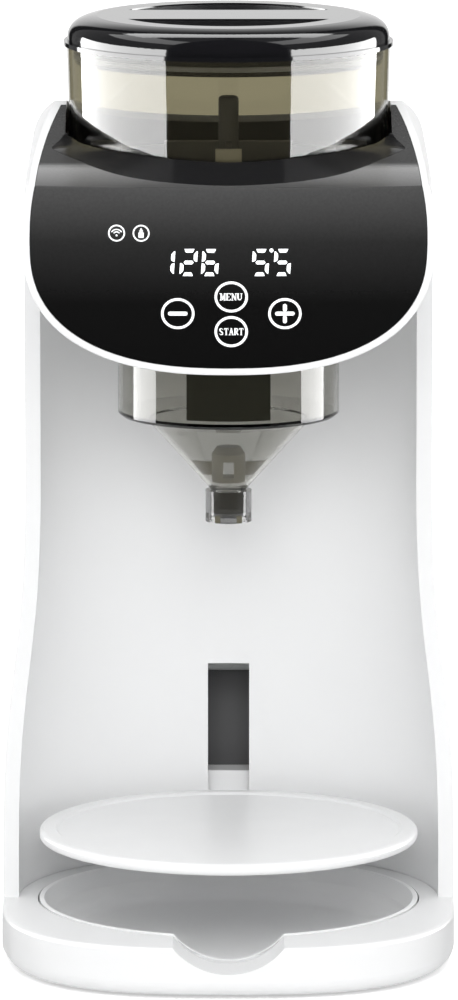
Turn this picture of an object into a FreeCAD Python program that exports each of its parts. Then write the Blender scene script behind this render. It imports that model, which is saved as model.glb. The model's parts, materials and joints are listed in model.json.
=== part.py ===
import FreeCAD, Part

import math
import os

from FreeCAD import Vector

# Countertop baby formula maker, in millimetres, +Z up, front towards -Y.
# The powder container, the mixing funnel, the bottle plate, the drip tray and the half-round
# niche share one upright axis at y = AXIS_Y. The origin is at the middle of the footprint,
# on the surface that the machine stands on.

# ------------------------------------------------------------------ driving dimensions
# Footprint
FRONT_REACH = 103.0          # from the common axis to the front of the base
BACK_REACH = 205.0           # from the common axis to the back of the dock
AXIS_Y = (FRONT_REACH - BACK_REACH) / 2
BASE_HALF_WIDTH = 95.2
BASE_NOSE_LENGTH = 97.5      # length of the rounded nose of the base
NOSE_EXPONENT = 2.7
REAR_CORNER_R = 42.0

# Base and drip tray
FOOT_HEIGHT = 1.5
FOOT_R = 8.0
FOOT_ROUND = 0.5
FRONT_FOOT = (48.0, -46.0)   # half spacing, and place from the common axis
BACK_FOOT = (66.0, BACK_REACH - 33.0)
BASE_TOP = 22.0
BASE_WALL = 3.4
BASE_TOP_ROUND = 1.6
BASE_BOTTOM_ROUND = 6.0
PLATE_THICKNESS = 2.0        # bottom plate
BASE_BOSS_R = 4.5
BASE_LIP = 2.0               # the base turns in round the bottom plate
BASE_LIP_HEIGHT = 1.0
PORT_GAP = 2.0               # round a hose where it passes through the top of the base
WIRE_PORT_R = 6.0
WIRE_PORT_Y = 120.0
PIT_MARGIN = 14.6            # from the pit's wall to the side of the base
PIT_R = BASE_HALF_WIDTH - PIT_MARGIN
PIT_FLOOR = 3.8
NOTCH_R = 29.7               # round finger notch in the front rim
NOTCH_BOTTOM = 11.1
NOTCH_BACK_Y = -PIT_R + 12.0
TRAY_NOTCH_STEP = 0.6        # the tray's own notch lies a little higher
TRAY_GAP = 0.7
SEAT_GAP = 0.1
TRAY_WALL = 2.0
TRAY_SLOPE = 12.6            # the tray's flat floor ends this far inside the pit's wall
TRAY_FLOOR_R = PIT_R - TRAY_SLOPE
TRAY_BEND = 10.0             # height of the curve from floor to wall
TRAY_LEAN = 2.2              # the wall leans out by this much
TRAY_PROUD = 0.4
TRAY_LIP = 2.0

# Column with the half-round niche
COLUMN_HALF_WIDTH = 85.4
FLARE_TOP = 200.0
FLARE_BOTTOM = 42.0
COLUMN_DEPTH = 135.0         # from the cheek face to the back cover
SHELL_WALL = 2.8
CHEEK = 6.6
NICHE_WALL = 2.2
SEAM = 0.15                  # gap between two mouldings that meet
BACK_COVER_WALL = 2.6
BACK_COVER_STEP = 0.2        # the cover lies this far inside the side walls
VENT_HALF = 40.0
VENT_HEIGHT = 3.0
VENT_PITCH = 8.0
VENT_DROP = 62.0             # lowest vent below the head's widest line
VENTS = 6
CABLE_HEIGHT = 12.0
CABLE_R = 6.5                # way out for the wires at the foot of the cover

# Head pod
HEAD_FACE_Y = -90.0          # front face, measured from the common axis
HEAD_FACE_R = 900.0          # slight crown of the front face
HEAD_HALF_FRONT = 83.8
HEAD_HALF_BACK = 85.4
HEAD_WIDE_Z = 312.0          # widest line of the head; every height in the head follows it
HEAD_BELLY = 53.5
HEAD_CROWN = 76.0
HEAD_EXPONENT = 2.45
EDGE_ROUND = 1.0
BROW_Z = HEAD_WIDE_Z + 23.5  # top edge of the front face
CREASE_Y = -60.0
CREASE_Z = BROW_Z + 5.8
RIDGE_Y = 5.4
RIDGE_Z = CREASE_Z + 19.0
DECK_MID_Z = HEAD_WIDE_Z + 34.0
DECK_END_Z = HEAD_WIDE_Z + 16.0
FASCIA_WALL = 2.6
RIM = 2.8                    # white edge left round the black fascia
FASCIA_BACK_Y = 1.0
COLLAR_WALL = 2.6
COLLAR_EDGE = 0.6
COLLAR_INNER_Z = BROW_Z + 8.5   # height at which the collar's bore clears the container by WELL_GAP
COLLAR_FOOT = 2.3            # thickness of the collar's upright foot
HORN_INNER_X = 67.9          # straight inner side of each horn of the fascia
HORN_START_Y = -28.0
HORN_RAIL = 1.4
HORN_RAIL_DEPTH = 20.0
HORN_RAIL_STEP = 0.25        # the rail stands this far inside the horn's edge
FASCIA_STEP = 0.25           # the black face lies this far behind its white rim
FASCIA_BOSS_R = 2.6
FASCIA_BOSS_X = 46.0
FASCIA_BOSS_Z = (HEAD_WIDE_Z - 36.0, HEAD_WIDE_Z + 10.0)
# half of the collar: degrees from the front, outer radius, height of the inner edge over the brow
COLLAR_STATIONS = [(0.0, 86.5, 7.9), (19.0, 86.0, 8.7), (30.0, 85.4, 9.4), (43.0, 83.0, 10.0),
                   (48.0, 82.8, 10.2), (51.5, 83.3, 10.4), (55.5, 84.1, 10.6), (58.6, 84.7, 10.8),
                   (60.0, 84.0, 10.9), (63.3, 77.9, 11.0), (67.2, 73.2, 11.3)]
COLLAR_CORNER = 7            # station where the outline turns back towards the container

# Powder container and lid
CONTAINER_BOTTOM = HEAD_WIDE_Z - 12.0
CONTAINER_TOP = CONTAINER_BOTTOM + 84.5
CONTAINER_R_TOP = 67.3
CONTAINER_R_BOTTOM = 65.0
CONTAINER_WALL = 2.4
WELL_GAP = 0.7
HOLE_GAP = 0.9               # round the container where it leaves the head
WELL_WALL = 2.0
WELL_FLOOR_TOP = CONTAINER_BOTTOM - 2.5
WELL_FLOOR = 2.5
WELL_TOP_GAP = 0.3           # from the well's rim to the height of the brow
WELL_FOOT_R = 3.6
WELL_FEET = [(36.0, -30.0), (-36.0, -30.0), (-38.0, 22.0), (44.0, 2.0)]
BUSH_R = 5.5
BUSH_FLANGE_R = 7.4
BUSH_FLANGE = 1.0
BUSH_DROP = 3.0
BUSH_BOSS_R = 8.0
LID_R = 68.6
LID_BODY_R = 67.1
LID_SHOULDER = 12.1          # the side curves into the flat top over this width
LID_FLANGE = 1.8
LID_HEIGHT = 12.4
LID_ROUND = 9.0
LID_WALL = 2.2
RECESS_R = 45.2
RECESS_DEPTH = 7.6
RECESS_DRAFT = 1.4
GRIP_BAR = 35.0
PLUG_DEPTH = 6.5
PLUG_GAP = 1.1
SEAL_HALF = 0.75
SEAL_HEIGHT = 2.0
SEAL_DROP = 4.5              # from the container's rim down to the seal

# Dosing works inside and under the container
DISC_R = 61.0
DISC_BOTTOM = CONTAINER_BOTTOM + 4.6
DISC_THICKNESS = 12.0
POCKET_R = 8.2
POCKET_CIRCLE = 34.0
POCKETS = 8
HUB_R = 11.0
HUB_HEIGHT = 6.0
SPIGOT_R = 8.4
POST_R = 4.2
POST_TOP = CONTAINER_BOTTOM + 63.0
BLADE_Z = CONTAINER_BOTTOM + 31.0
BLADE_HEIGHT = 13.0
BLADE_WIDTH = 2.6
LOOP_R = 9.0                 # round eyes in the stirrer's blades
LOOP_CIRCLE = 35.8
LOOP_WALL = 2.2
STIRRER_R = 57.6
LOOP_HEIGHT = 4.0
TAB_WIDTH = 10.6             # upright tab that holds the leveller against the container's wall
TAB_DEPTH = 2.6
FLOOR_GAP = 0.4              # under the wheel
FLOOR_RIM = 3.0
FLOOR_FEET = 3
FLOOR_FOOT_R = 4.0
FLOOR_FOOT_CIRCLE = 52.0
WHEEL_GAP = 0.6
LEVELLER_GAP = 0.6
LEVELLER_THICKNESS = 2.4
SHAFT_R = 4.0
DRIVE_FLAT = 8.4             # square driving end of the shaft
DRIVE_GAP = 0.15
RUNNING_GAP = 0.06
GEAR_MODULE = 1.0
DRIVE_TEETH = 40
IDLER_TEETH = 58
PINION_TEETH = 20
GEAR_BOTTOM = WELL_FLOOR_TOP - 14.1
GEAR_FACE = 6.0
MOTOR_R = 13.0
MOTOR_HEIGHT = 34.0
GEARBOX_HEIGHT = 12.0
MOTOR_LIFT = 4.0             # gearbox above the gears
MOTOR_BOSS_R = 5.0
MOTOR_NOSE_R = 3.0
SHAFT_END = 1.6
DRIVE_REACH = 7.0            # square end of the shaft above the underside of the wheel
BRACKET_THICKNESS = 2.0
PINION_SHAFT_R = 2.5
IDLER_HOLES = 5
IDLER_HOLE_R = 6.0
IDLER_HOLE_CIRCLE = 17.0
BRACKET_HALF = 32.0
BRACKET_LEG = 4.0
BRACKET_LEG_DEPTH = 8.0

# Mixing funnel
SKIRT_R = 46.3
SKIRT_TOP = HEAD_WIDE_Z - 37.0
SKIRT_BOTTOM = SKIRT_TOP - 46.0
CONE_TOP_R = 33.5
CONE_TOP_Z = SKIRT_BOTTOM - 3.0
CONE_END_Z = CONE_TOP_Z - 29.0
FUNNEL_WALL = 1.8
NOZZLE_R = 9.7
NOZZLE_BOTTOM = CONE_END_Z - 13.4
NOZZLE_BORE_R = 5.8
OUTLET_R = 7.4
MIX_TUBE_R = 7.0
MIX_TUBE_TOP = CONE_END_Z + 19.0
MIX_TUBE_WALL = 1.4
MIX_TUBE_FOOT = 4.0          # from the foot of the cone up to the tube
MIX_WINDOW = 4.4
MIX_RIB = 1.2
MIX_RIB_HEIGHT = 6.0
NOZZLE_SLOTS = 4
NOZZLE_SLOT = 3.0
NOZZLE_SLOT_HEIGHT = 2.9
NOZZLE_STEP = 4.0
SOCKET_WALL = 2.4
SOCKET_GAP = 0.5
SOCKET_ROOF = 2.2
LEDGE_HALF = 40.0            # shelf behind the socket that carries the idler and the motor bracket
LEDGE_FRONT = 30.0
LEDGE_BACK = 97.0

# Bottle plate
BOTTLE_PLATE_R = PIT_R - 0.8
BOTTLE_PLATE_TOP = 52.6
BOTTLE_PLATE_THICKNESS = 5.0
RIM_INNER_R = BOTTLE_PLATE_R - 8.0
RIM_STEP = 0.9
RIM_BEVEL = 1.2
PLATE_ROUND = 2.0
ARM_WIDTH = 16.0
ARM_HEIGHT = 5.5
SLOT_GAP = 0.9
SLOT_END = 1.2
PLATE_DOWN = 14.0
PLATE_UP = 58.0
ROD_R = 3.0
ROD_SPREAD = 24.0
CARRIAGE_GAP = 3.2           # between the niche's wall and the carriage behind it
CARRIAGE_DEPTH = 13.0
CARRIAGE_HEIGHT = 20.0
CARRIAGE_Y = BASE_HALF_WIDTH - CHEEK + NICHE_WALL + CARRIAGE_GAP
ROD_Y = CARRIAGE_Y + 7.0     # middle of the guide rods
ROD_TOP = 146.0
ARM_START = 30.0             # where the arm begins under the plate
CARRIAGE_SIDE = 8.0          # carriage beyond each rod
BUSH_WALL = 1.5
TIE_HEIGHT = 8.0
TIE_DROP = 2.0               # top of the tie below the end of the rods
TIE_FRONT = 6.0

# Water tank on its dock
DOCK_TOP = BASE_TOP + 24.0
DOCK_WALL = 2.4
DOCK_SIDE = 2.0              # dock beyond the tank at each side
DOCK_BACK = 1.6
DOCK_ROUND = 1.2
DOCK_FRONT_GAP = 0.3
DOCK_CUP_R = 13.6
DOCK_CUP_DEPTH = 12.0
DOCK_CUP_BORE_R = 11.6
DOCK_CUP_FLOOR = 2.0
DOCK_FLANGE_R = 15.6
DOCK_FLANGE = 1.6
DOCK_PIN_R = 1.6
DOCK_OUTLET = 8.0            # length of the hose spigot below the cup
BRIDGE = (5.2, 1.2, 3.0)     # strip across the outlet that carries the pin
TANK_HALF_WIDTH = 79.5
TANK_FRONT_Y = COLUMN_DEPTH + 3.0
TANK_BACK_Y = BACK_REACH - 2.0
TANK_CORNER_R = 30.0
TANK_FRONT_CORNER_R = 8.0
TANK_BOTTOM = DOCK_TOP + 1.0
TANK_TOP = HEAD_WIDE_Z - 1.0
TANK_WALL = 2.4
TANK_FLOOR_THICKNESS = 3.0
TANK_EDGE_ROUND = 2.0
TANK_LID_HEIGHT = 8.0
TANK_LID_EDGE = 1.0          # lid beyond the tank's walls
TANK_LID_GAP = 0.3
TANK_LID_ROUND = 2.0
TANK_LID_SKIRT = 3.0
LID_SKIN = 2.4
HINGE_R = 3.8                # barrel along the front edge of the tank lid
HINGE_HALF = 72.0
PIN_R = 1.5
PIN_SEAT = 5.0
PIN_REACH = 8.0
VALVE_Y = (TANK_FRONT_Y + TANK_BACK_Y) / 2 - 2.5
VALVE_R = 9.0
VALVE_WALL = 2.2
STEM_R = 2.2
DISC_HEIGHT = 2.0
CAGE_WALL = 1.6
CAGE_HEIGHT = 9.0
CAGE_ROOF = 2.0
CAGE_SLOT = 5.0
SPRING_R = 4.2
SPRING_WALL = 1.0
FLOAT_X = 55.0
FLOAT_R = 9.8
FLOAT_HEIGHT = 20.0
FLOAT_RISE = 30.0
FLOAT_BACK = 4.0             # float behind the valve
FLOAT_GAP = 0.6
FLOAT_GUIDE_WALL = 1.6
FLOAT_WINDOW = 4.0

# Things inside the column
FRAME_Y = COLUMN_DEPTH - 7.0   # front face of the upright inner frame
FRAME_THICKNESS = 2.0
FRAME_HALF = 72.0
FRAME_TOP = HEAD_WIDE_Z - 10.0
FRAME_NOTCH = (20.0, 12.0)   # half width and height of the way through at the foot
STUD_R = 2.6
STUD_LENGTH = 5.0
COVER_STUD_R = 3.6
HOSE_R = 3.2
HOSE_BORE_R = 2.0
PUMP_R = 14.0
PUMP_HEAD = 12.0
PUMP_HEAD_EXTRA = 2.0
PUMP_FOOT = 9.0
HEATER_HALF = (11.0, 9.0)
HEATER_END_R = 6.0
HEATER_END = 4.0
HEATER_FOOT = 8.0
HEATER_FOOT_HEIGHT = 6.0
SENSOR_R = 2.2
SENSOR_LENGTH = 18.0
SENSOR_DROP = 30.0
BREW_BEND_Y = 62.0
SPOUT_HALF = 4.4
SPOUT_STEM_R = 4.6
SPOUT_HOLE_R = 4.8
BOARD_THICKNESS = 1.6
BOARD_X = (-64.0, -4.0)
BOARD_HEIGHT = 92.0
BOARD_MARGIN = 6.0
# parts on the board: left, right, foot above the board's foot, height, how far they stand out
RELAY = (-60.0, -44.0, 6.0, 18.0, 15.0)
COIL = (-36.0, -14.0, 6.0, 20.0, 13.0)
CHIP = (-30.0, -16.0, 56.0, 14.0, 2.0)
PLUGS = (-58.0, -14.0, 80.0, 7.0, 7.0)
CAPACITOR = (-52.0, 46.0, 6.0, 14.0)   # x, height above the board's foot, radius, length
DISPLAY_BOARD = (52.0, -42.0, 16.0)    # half width, foot and top from the head's widest line
DIGITS = (-27.0, 29.0, -14.0, 1.0)     # left, right, foot and top from the head's widest line
DIGITS_DEPTH = 2.6
KEY_SPRING_R = 4.6
KEY_SPRING_WALL = 1.0
SCREW_R = 1.6
SCREW_HEAD_R = 3.2
SCREW_HEAD = 1.2
SCREW_LENGTH = 10.0
SCREW_GAP = 0.2

# Mains inlet and rocker switch in the back of the dock
INLET_DEPTH = 18.0
INLET_GAP = 0.2
INLET_SEAT = 13.0            # depth of the round-ended socket
INLET_SEAT_R = 4.4
INLET_SEAT_HALF = 4.0
INLET_PIN_R = 1.2
INLET_PIN_HALF = 4.3
INLET_PIN_LENGTH = 11.0
FLANGE_THICKNESS = 0.35
FLANGE_REACH = 1.4
SWITCH_HALF = (10.8, 7.8)
SWITCH_BEZEL = (12.2, 9.2)
SWITCH_BAY = (9.6, 6.4)
SWITCH_DEPTH = 16.0
SWITCH_BAY_DEPTH = 8.0
PADDLE_HALF = (8.4, 6.0)
PADDLE_DEPTH = 3.8
PADDLE_SINK = 1.6
PADDLE_CROWN = 0.8
AXLE_R = 1.2
AXLE_HALF = 7.0
ROCKER_TILT = 5.0

OVER = 1.0                   # how far a cutting body reaches past what it cuts
FAR = 500.0                  # beyond the whole object

os.makedirs("parts", exist_ok=True)


# ------------------------------------------------------------------ helpers
# Every helper takes y from the common axis and adds AXIS_Y itself.
def point(x, y, z):
    return Vector(x, AXIS_Y + y, z)


def box(x0, x1, y0, y1, z0, z1):
    return Part.makeBox(x1 - x0, y1 - y0, z1 - z0, point(x0, y0, z0))


def cylinder(radius, z0, z1, x=0.0, y=0.0):
    return Part.makeCylinder(radius, z1 - z0, point(x, y, z0))


def ring(outer, inner, z0, z1, x=0.0, y=0.0):
    return cylinder(outer, z0, z1, x, y).cut(cylinder(inner, z0, z1, x, y))


def cone(r0, r1, z0, z1, x=0.0, y=0.0):
    return Part.makeCone(r0, r1, z1 - z0, point(x, y, z0))


def rod_y(radius, y0, y1, x, z):
    return Part.makeCylinder(radius, y1 - y0, point(x, y0, z), Vector(0, 1, 0))


def rod_x(radius, x0, x1, y, z):
    return Part.makeCylinder(radius, x1 - x0, point(x0, y, z), Vector(1, 0, 0))


def fuse(shapes):
    whole = shapes[0].fuse(shapes[1:]) if len(shapes) > 1 else shapes[0]
    return whole.removeSplitter()


def turned(profile, x=0.0, y=0.0):
    """Solid of revolution about an upright axis from (radius, z) points joined by straight lines."""
    points = [point(x + r, y, z) for r, z in profile]
    wire = Part.makePolygon(points + [points[0]])
    return Part.Face(wire).revolve(point(x, y, 0), Vector(0, 0, 1), 360)


def turned_edges(edges):
    """Solid of revolution about the common axis from edges drawn in the plane y = 0."""
    face = Part.Face(Part.Wire(Part.__sortEdges__(edges)))
    return face.revolve(point(0, 0, 0), Vector(0, 0, 1), 360)


def line(a, b):
    return Part.LineSegment(a, b).toShape()


def arc(a, middle, b):
    return Part.Arc(a, middle, b).toShape()


def bezier(poles):
    curve = Part.BezierCurve()
    curve.setPoles(poles)
    return curve.toShape()


def prism(edges, direction):
    return Part.Face(Part.Wire(Part.__sortEdges__(edges))).extrude(direction)


def upright_prism(points_xy, z0, z1):
    points = [point(x, y, z0) for x, y in points_xy]
    return Part.Face(Part.makePolygon(points + [points[0]])).extrude(Vector(0, 0, z1 - z0))


def save(shape, name):
    solids = shape.Solids
    kept = solids[0] if len(solids) == 1 else Part.makeCompound(solids)
    kept.exportStep("parts/" + name + ".step")
    print(name, len(solids), round(kept.Volume / 1000, 2), kept.isValid())


def hose(points, radius):
    """Round tube along straight runs joined by tangent arcs, from a list of (x, y, z)."""
    corners = [point(*p) for p in points]
    edges = []
    start = corners[0]
    for before, corner, after in zip(corners, corners[1:], corners[2:]):
        inward = (corner - before).normalize()
        outward = (after - corner).normalize()
        turn = math.acos(max(-1.0, min(1.0, inward.dot(outward))))
        run = min((corner - before).Length, (after - corner).Length)
        setback = min(0.45 * run, 3.0 * radius * math.tan(turn / 2) + 2.0 * radius)
        bend = setback / math.tan(turn / 2)
        a = corner - inward * setback
        b = corner + outward * setback
        inside = (outward - inward).normalize()
        middle = corner + inside * (bend / math.cos(turn / 2) - bend)
        edges.append(line(start, a))
        edges.append(arc(a, middle, b))
        start = b
    edges.append(line(start, corners[-1]))
    path = Part.Wire(edges)
    heading = (corners[1] - corners[0]).normalize()
    section = Part.Wire([Part.Circle(corners[0], heading, radius).toShape()])
    return path.makePipeShell([section], True, True)


def gear(teeth, z0, bore_r, x, y, turn=0.0):
    """Spur gear with straight-sided teeth, module GEAR_MODULE."""
    pitch_r = GEAR_MODULE * teeth / 2
    tip_r = pitch_r + 0.85 * GEAR_MODULE
    root_r = pitch_r - 1.2 * GEAR_MODULE
    step = 2 * math.pi / teeth
    outline = []
    for tooth in range(teeth):
        middle = turn + tooth * step
        for radius, share in ((root_r, -0.36), (tip_r, -0.12), (tip_r, 0.12), (root_r, 0.36)):
            angle = middle + share * step
            outline.append((x + radius * math.cos(angle), y + radius * math.sin(angle)))
    blank = upright_prism(outline, z0, z0 + GEAR_FACE)
    return blank.cut(cylinder(bore_r, z0, z0 + GEAR_FACE, x, y))


# ------------------------------------------------------------------ shared outlines
def base_block(inset, z0, z1):
    """Footprint of the base, drawn in by inset and raised from z0 to z1."""
    half = BASE_HALF_WIDTH - inset
    nose = BASE_NOSE_LENGTH - inset
    nose_y = BASE_NOSE_LENGTH - FRONT_REACH
    back = BACK_REACH - inset
    corner = REAR_CORNER_R - inset
    steps = 10
    points = []
    for i in range(2 * steps + 1):
        angle = math.pi * i / (2 * steps)
        x = half * math.copysign(abs(math.cos(angle)) ** (2 / NOSE_EXPONENT), math.cos(angle))
        y = nose_y - nose * math.sin(angle) ** (2 / NOSE_EXPONENT)
        points.append(point(x, y, z0))
    points[0] = point(half, nose_y, z0)
    points[-1] = point(-half, nose_y, z0)
    curve = Part.BSplineCurve()
    curve.interpolate(Points=points, InitialTangent=Vector(0, -1, 0), FinalTangent=Vector(0, 1, 0))
    diagonal = corner * (1 - math.sqrt(0.5))
    edges = [curve.toShape()]
    edges.append(line(point(-half, nose_y, z0), point(-half, back - corner, z0)))
    edges.append(arc(point(-half, back - corner, z0), point(-half + diagonal, back - diagonal, z0),
                     point(-half + corner, back, z0)))
    edges.append(line(point(-half + corner, back, z0), point(half - corner, back, z0)))
    edges.append(arc(point(half - corner, back, z0), point(half - diagonal, back - diagonal, z0),
                     point(half, back - corner, z0)))
    edges.append(line(point(half, back - corner, z0), point(half, nose_y, z0)))
    return prism(edges, Vector(0, 0, z1 - z0))


def flare(offset, y=0.0, side=1):
    """S-shaped edge where the column widens downwards, drawn in by offset."""
    upper = COLUMN_HALF_WIDTH - offset
    lower = BASE_HALF_WIDTH - offset
    pull = (FLARE_TOP - FLARE_BOTTOM) / 2
    return bezier([point(side * upper, y, FLARE_TOP), point(side * upper, y, FLARE_TOP - pull),
                   point(side * lower, y, FLARE_BOTTOM + pull), point(side * lower, y, FLARE_BOTTOM)])


def column_block(inset, y0, y1, z0, z1):
    """Front outline of the column, drawn in by inset and carried from y0 to y1."""
    upper = COLUMN_HALF_WIDTH - inset
    lower = BASE_HALF_WIDTH - inset
    edges = [line(point(-lower, y0, z0), point(lower, y0, z0))]
    edges.append(line(point(upper, y0, z1), point(-upper, y0, z1)))
    for side in (-1, 1):
        edges.append(line(point(side * lower, y0, z0), point(side * lower, y0, FLARE_BOTTOM)))
        edges.append(flare(inset, y0, side))
        edges.append(line(point(side * upper, y0, FLARE_TOP), point(side * upper, y0, z1)))
    return prism(edges, Vector(0, y1 - y0, 0))


def niche_block(offset, z0, z1):
    """Round body that follows the flare, smaller than the column by CHEEK + offset."""
    upper = COLUMN_HALF_WIDTH - CHEEK - offset
    lower = BASE_HALF_WIDTH - CHEEK - offset
    edges = [line(point(0, 0, z0), point(lower, 0, z0))]
    edges.append(line(point(lower, 0, z0), point(lower, 0, FLARE_BOTTOM)))
    edges.append(flare(CHEEK + offset))
    edges.append(line(point(upper, 0, FLARE_TOP), point(upper, 0, z1)))
    edges.append(line(point(upper, 0, z1), point(0, 0, z1)))
    edges.append(line(point(0, 0, z1), point(0, 0, z0)))
    return turned_edges(edges)


def head_outline(y, inset):
    """Closed front outline of the head: a full belly below the widest line, a taller crown above."""
    share = min(1.0, max(0.0, y / HEAD_FACE_Y))
    half = HEAD_HALF_BACK + (HEAD_HALF_FRONT - HEAD_HALF_BACK) * share - inset
    steps = 36
    points = []
    for i in range(steps):
        angle = 2 * math.pi * i / steps
        across = math.copysign(abs(math.cos(angle)) ** (2 / HEAD_EXPONENT), math.cos(angle))
        up = math.copysign(abs(math.sin(angle)) ** (2 / HEAD_EXPONENT), math.sin(angle))
        reach = (HEAD_CROWN if up > 0 else HEAD_BELLY) - inset
        points.append(point(half * across, y, HEAD_WIDE_Z + reach * up))
    curve = Part.BSplineCurve()
    curve.interpolate(Points=points, PeriodicFlag=True)
    return Part.Wire([curve.toShape()])


def top_height(y):
    """Height of the sloping top at y: the brow's plane in front of the crease, the horns' behind it."""
    if y < CREASE_Y:
        return BROW_Z + (CREASE_Z - BROW_Z) * (y - HEAD_FACE_Y) / (CREASE_Y - HEAD_FACE_Y)
    return CREASE_Z + (RIDGE_Z - CREASE_Z) * (y - CREASE_Y) / (RIDGE_Y - CREASE_Y)


def under_top(drop):
    """Everything below the sloping top, lowered by drop: brow, crease, ridge, then the rear deck."""
    y0 = HEAD_FACE_Y - 10 * OVER
    y1 = COLUMN_DEPTH + 10 * OVER
    front_z = top_height(y0)
    low = HEAD_WIDE_Z - 2 * HEAD_BELLY
    half = 2 * HEAD_HALF_BACK
    corners = [(y0, low), (y0, front_z - drop), (CREASE_Y, CREASE_Z - drop), (RIDGE_Y, RIDGE_Z - drop)]
    edges = [line(point(-half, *a), point(-half, *b)) for a, b in zip(corners, corners[1:])]
    deck_middle_y = (RIDGE_Y + COLUMN_DEPTH) / 2
    ridge = point(-half, RIDGE_Y, RIDGE_Z - drop)
    deck_end = point(-half, COLUMN_DEPTH, DECK_END_Z - drop)
    edges.append(arc(ridge, point(-half, deck_middle_y, DECK_MID_Z - drop), deck_end))
    edges.append(line(deck_end, point(-half, y1, DECK_END_Z - drop)))
    edges.append(line(point(-half, y1, DECK_END_Z - drop), point(-half, y1, low)))
    edges.append(line(point(-half, y1, low), point(-half, y0, low)))
    return prism(edges, Vector(2 * half, 0, 0))


def head_block(inset, drop, y0, y1, face_step=0.0):
    """Head pod drawn in by inset, with its top lowered by drop and its face set back by face_step."""
    places = [y0, 0.0, y1] if y0 < 0.0 else [y0, y1]
    body = Part.makeLoft([head_outline(y, inset) for y in places], True, True)
    crown_r = HEAD_FACE_R - face_step
    crown = cylinder(crown_r, 0, 2 * HEAD_WIDE_Z, 0, HEAD_FACE_Y + HEAD_FACE_R)
    return body.common(crown).common(under_top(drop))


def container_radius(z):
    """Outer radius of the container wall, which widens evenly upwards."""
    share = (z - CONTAINER_BOTTOM) / (CONTAINER_TOP - CONTAINER_BOTTOM)
    return CONTAINER_R_BOTTOM + (CONTAINER_R_TOP - CONTAINER_R_BOTTOM) * share


def rounded_block(half, y0, y1, front_corner, back_corner, z0, z1):
    """Upright block with rounded front and back corners."""
    def corner(x_side, y, y_side, radius):
        bend = radius * (1 - math.sqrt(0.5))
        return arc(point(x_side * half, y - y_side * radius, z0),
                   point(x_side * (half - bend), y - y_side * bend, z0),
                   point(x_side * (half - radius), y, z0))

    edges = [corner(side, y0, -1, front_corner) for side in (-1, 1)]
    edges += [corner(side, y1, 1, back_corner) for side in (-1, 1)]
    edges.append(line(point(-half + front_corner, y0, z0), point(half - front_corner, y0, z0)))
    edges.append(line(point(-half + back_corner, y1, z0), point(half - back_corner, y1, z0)))
    for side in (-1, 1):
        edges.append(line(point(side * half, y0 + front_corner, z0),
                          point(side * half, y1 - back_corner, z0)))
    return prism(edges, Vector(0, 0, z1 - z0))


# ------------------------------------------------------------------ places worked out from the sizes
DISC_TOP = DISC_BOTTOM + DISC_THICKNESS
HOLE_R = container_radius(RIDGE_Z) + HOLE_GAP
WELL_RIM_Z = BROW_Z - WELL_TOP_GAP
WELL_OUTER_R = container_radius(WELL_RIM_Z) + WELL_GAP + WELL_WALL
COLLAR_INNER_R = container_radius(COLLAR_INNER_Z) + WELL_GAP
IDLER_Y = GEAR_MODULE * (DRIVE_TEETH + IDLER_TEETH) / 2
PINION_Y = IDLER_Y + GEAR_MODULE * (IDLER_TEETH + PINION_TEETH) / 2
GEAR_TOP = GEAR_BOTTOM + GEAR_FACE
WELL_FLOOR_BOTTOM = WELL_FLOOR_TOP - WELL_FLOOR
SOCKET_TOP = SKIRT_TOP + 1.0
SOCKET_R = SKIRT_R + SOCKET_GAP
SPOUT_X = 34.0
SPOUT_Y = 14.0
CHUTE_Y = -POCKET_CIRCLE
CHUTE_R = 8.4
CHUTE_WALL = 1.4
PLATE_UNDER = BOTTLE_PLATE_TOP - BOTTLE_PLATE_THICKNESS
ARM_TOP = PLATE_UNDER
ARM_BOTTOM = ARM_TOP - ARM_HEIGHT
HOSE_FLOOR_Z = 12.0
PUMP_X = -60.0
PUMP_Y = 111.5
PUMP_BOTTOM = 34.0
PUMP_TOP = 88.0
HEATER_X = 45.0
HEATER_Y = 114.0
HEATER_BOTTOM = 120.0
HEATER_TOP = 205.0
BOARD_FRONT_Y = HEAD_FACE_Y + 7.4
KEY_PLACES = [(-21.5, HEAD_WIDE_Z - 28.0), (23.0, HEAD_WIDE_Z - 28.0),
              (1.0, HEAD_WIDE_Z - 21.0), (1.0, HEAD_WIDE_Z - 35.3)]
BASE_SCREW_X = 72.0
BASE_SCREW_Y = (95.0, 150.0)
COVER_SCREWS = [(side * 70.0, z) for side in (-1, 1) for z in (BASE_TOP + 78.0, HEAD_WIDE_Z - 22.0)]
BOARD_BOTTOM = ROD_TOP + 10.0
HINGE_Y = TANK_FRONT_Y + 12.0
HINGE_Z = TANK_TOP + TANK_LID_HEIGHT - HINGE_R
LID_TOP_Z = TANK_TOP + TANK_LID_HEIGHT
TANK_FLOOR = TANK_BOTTOM + TANK_FLOOR_THICKNESS
STEM_BOTTOM = DOCK_TOP - 3.4
SPIGOT_BOTTOM = DOCK_TOP - 4.0
INLET_X = -20.0
INLET_Z = 33.5
INLET_W = 21.0
INLET_H = 13.0
ROCKER_X = 18.0
DOCK_FACE_Y = TANK_BACK_Y + DOCK_BACK
ROCKER_PIVOT_Y = DOCK_FACE_Y - 4.2
FLOAT_Y = VALVE_Y + FLOAT_BACK


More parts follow.
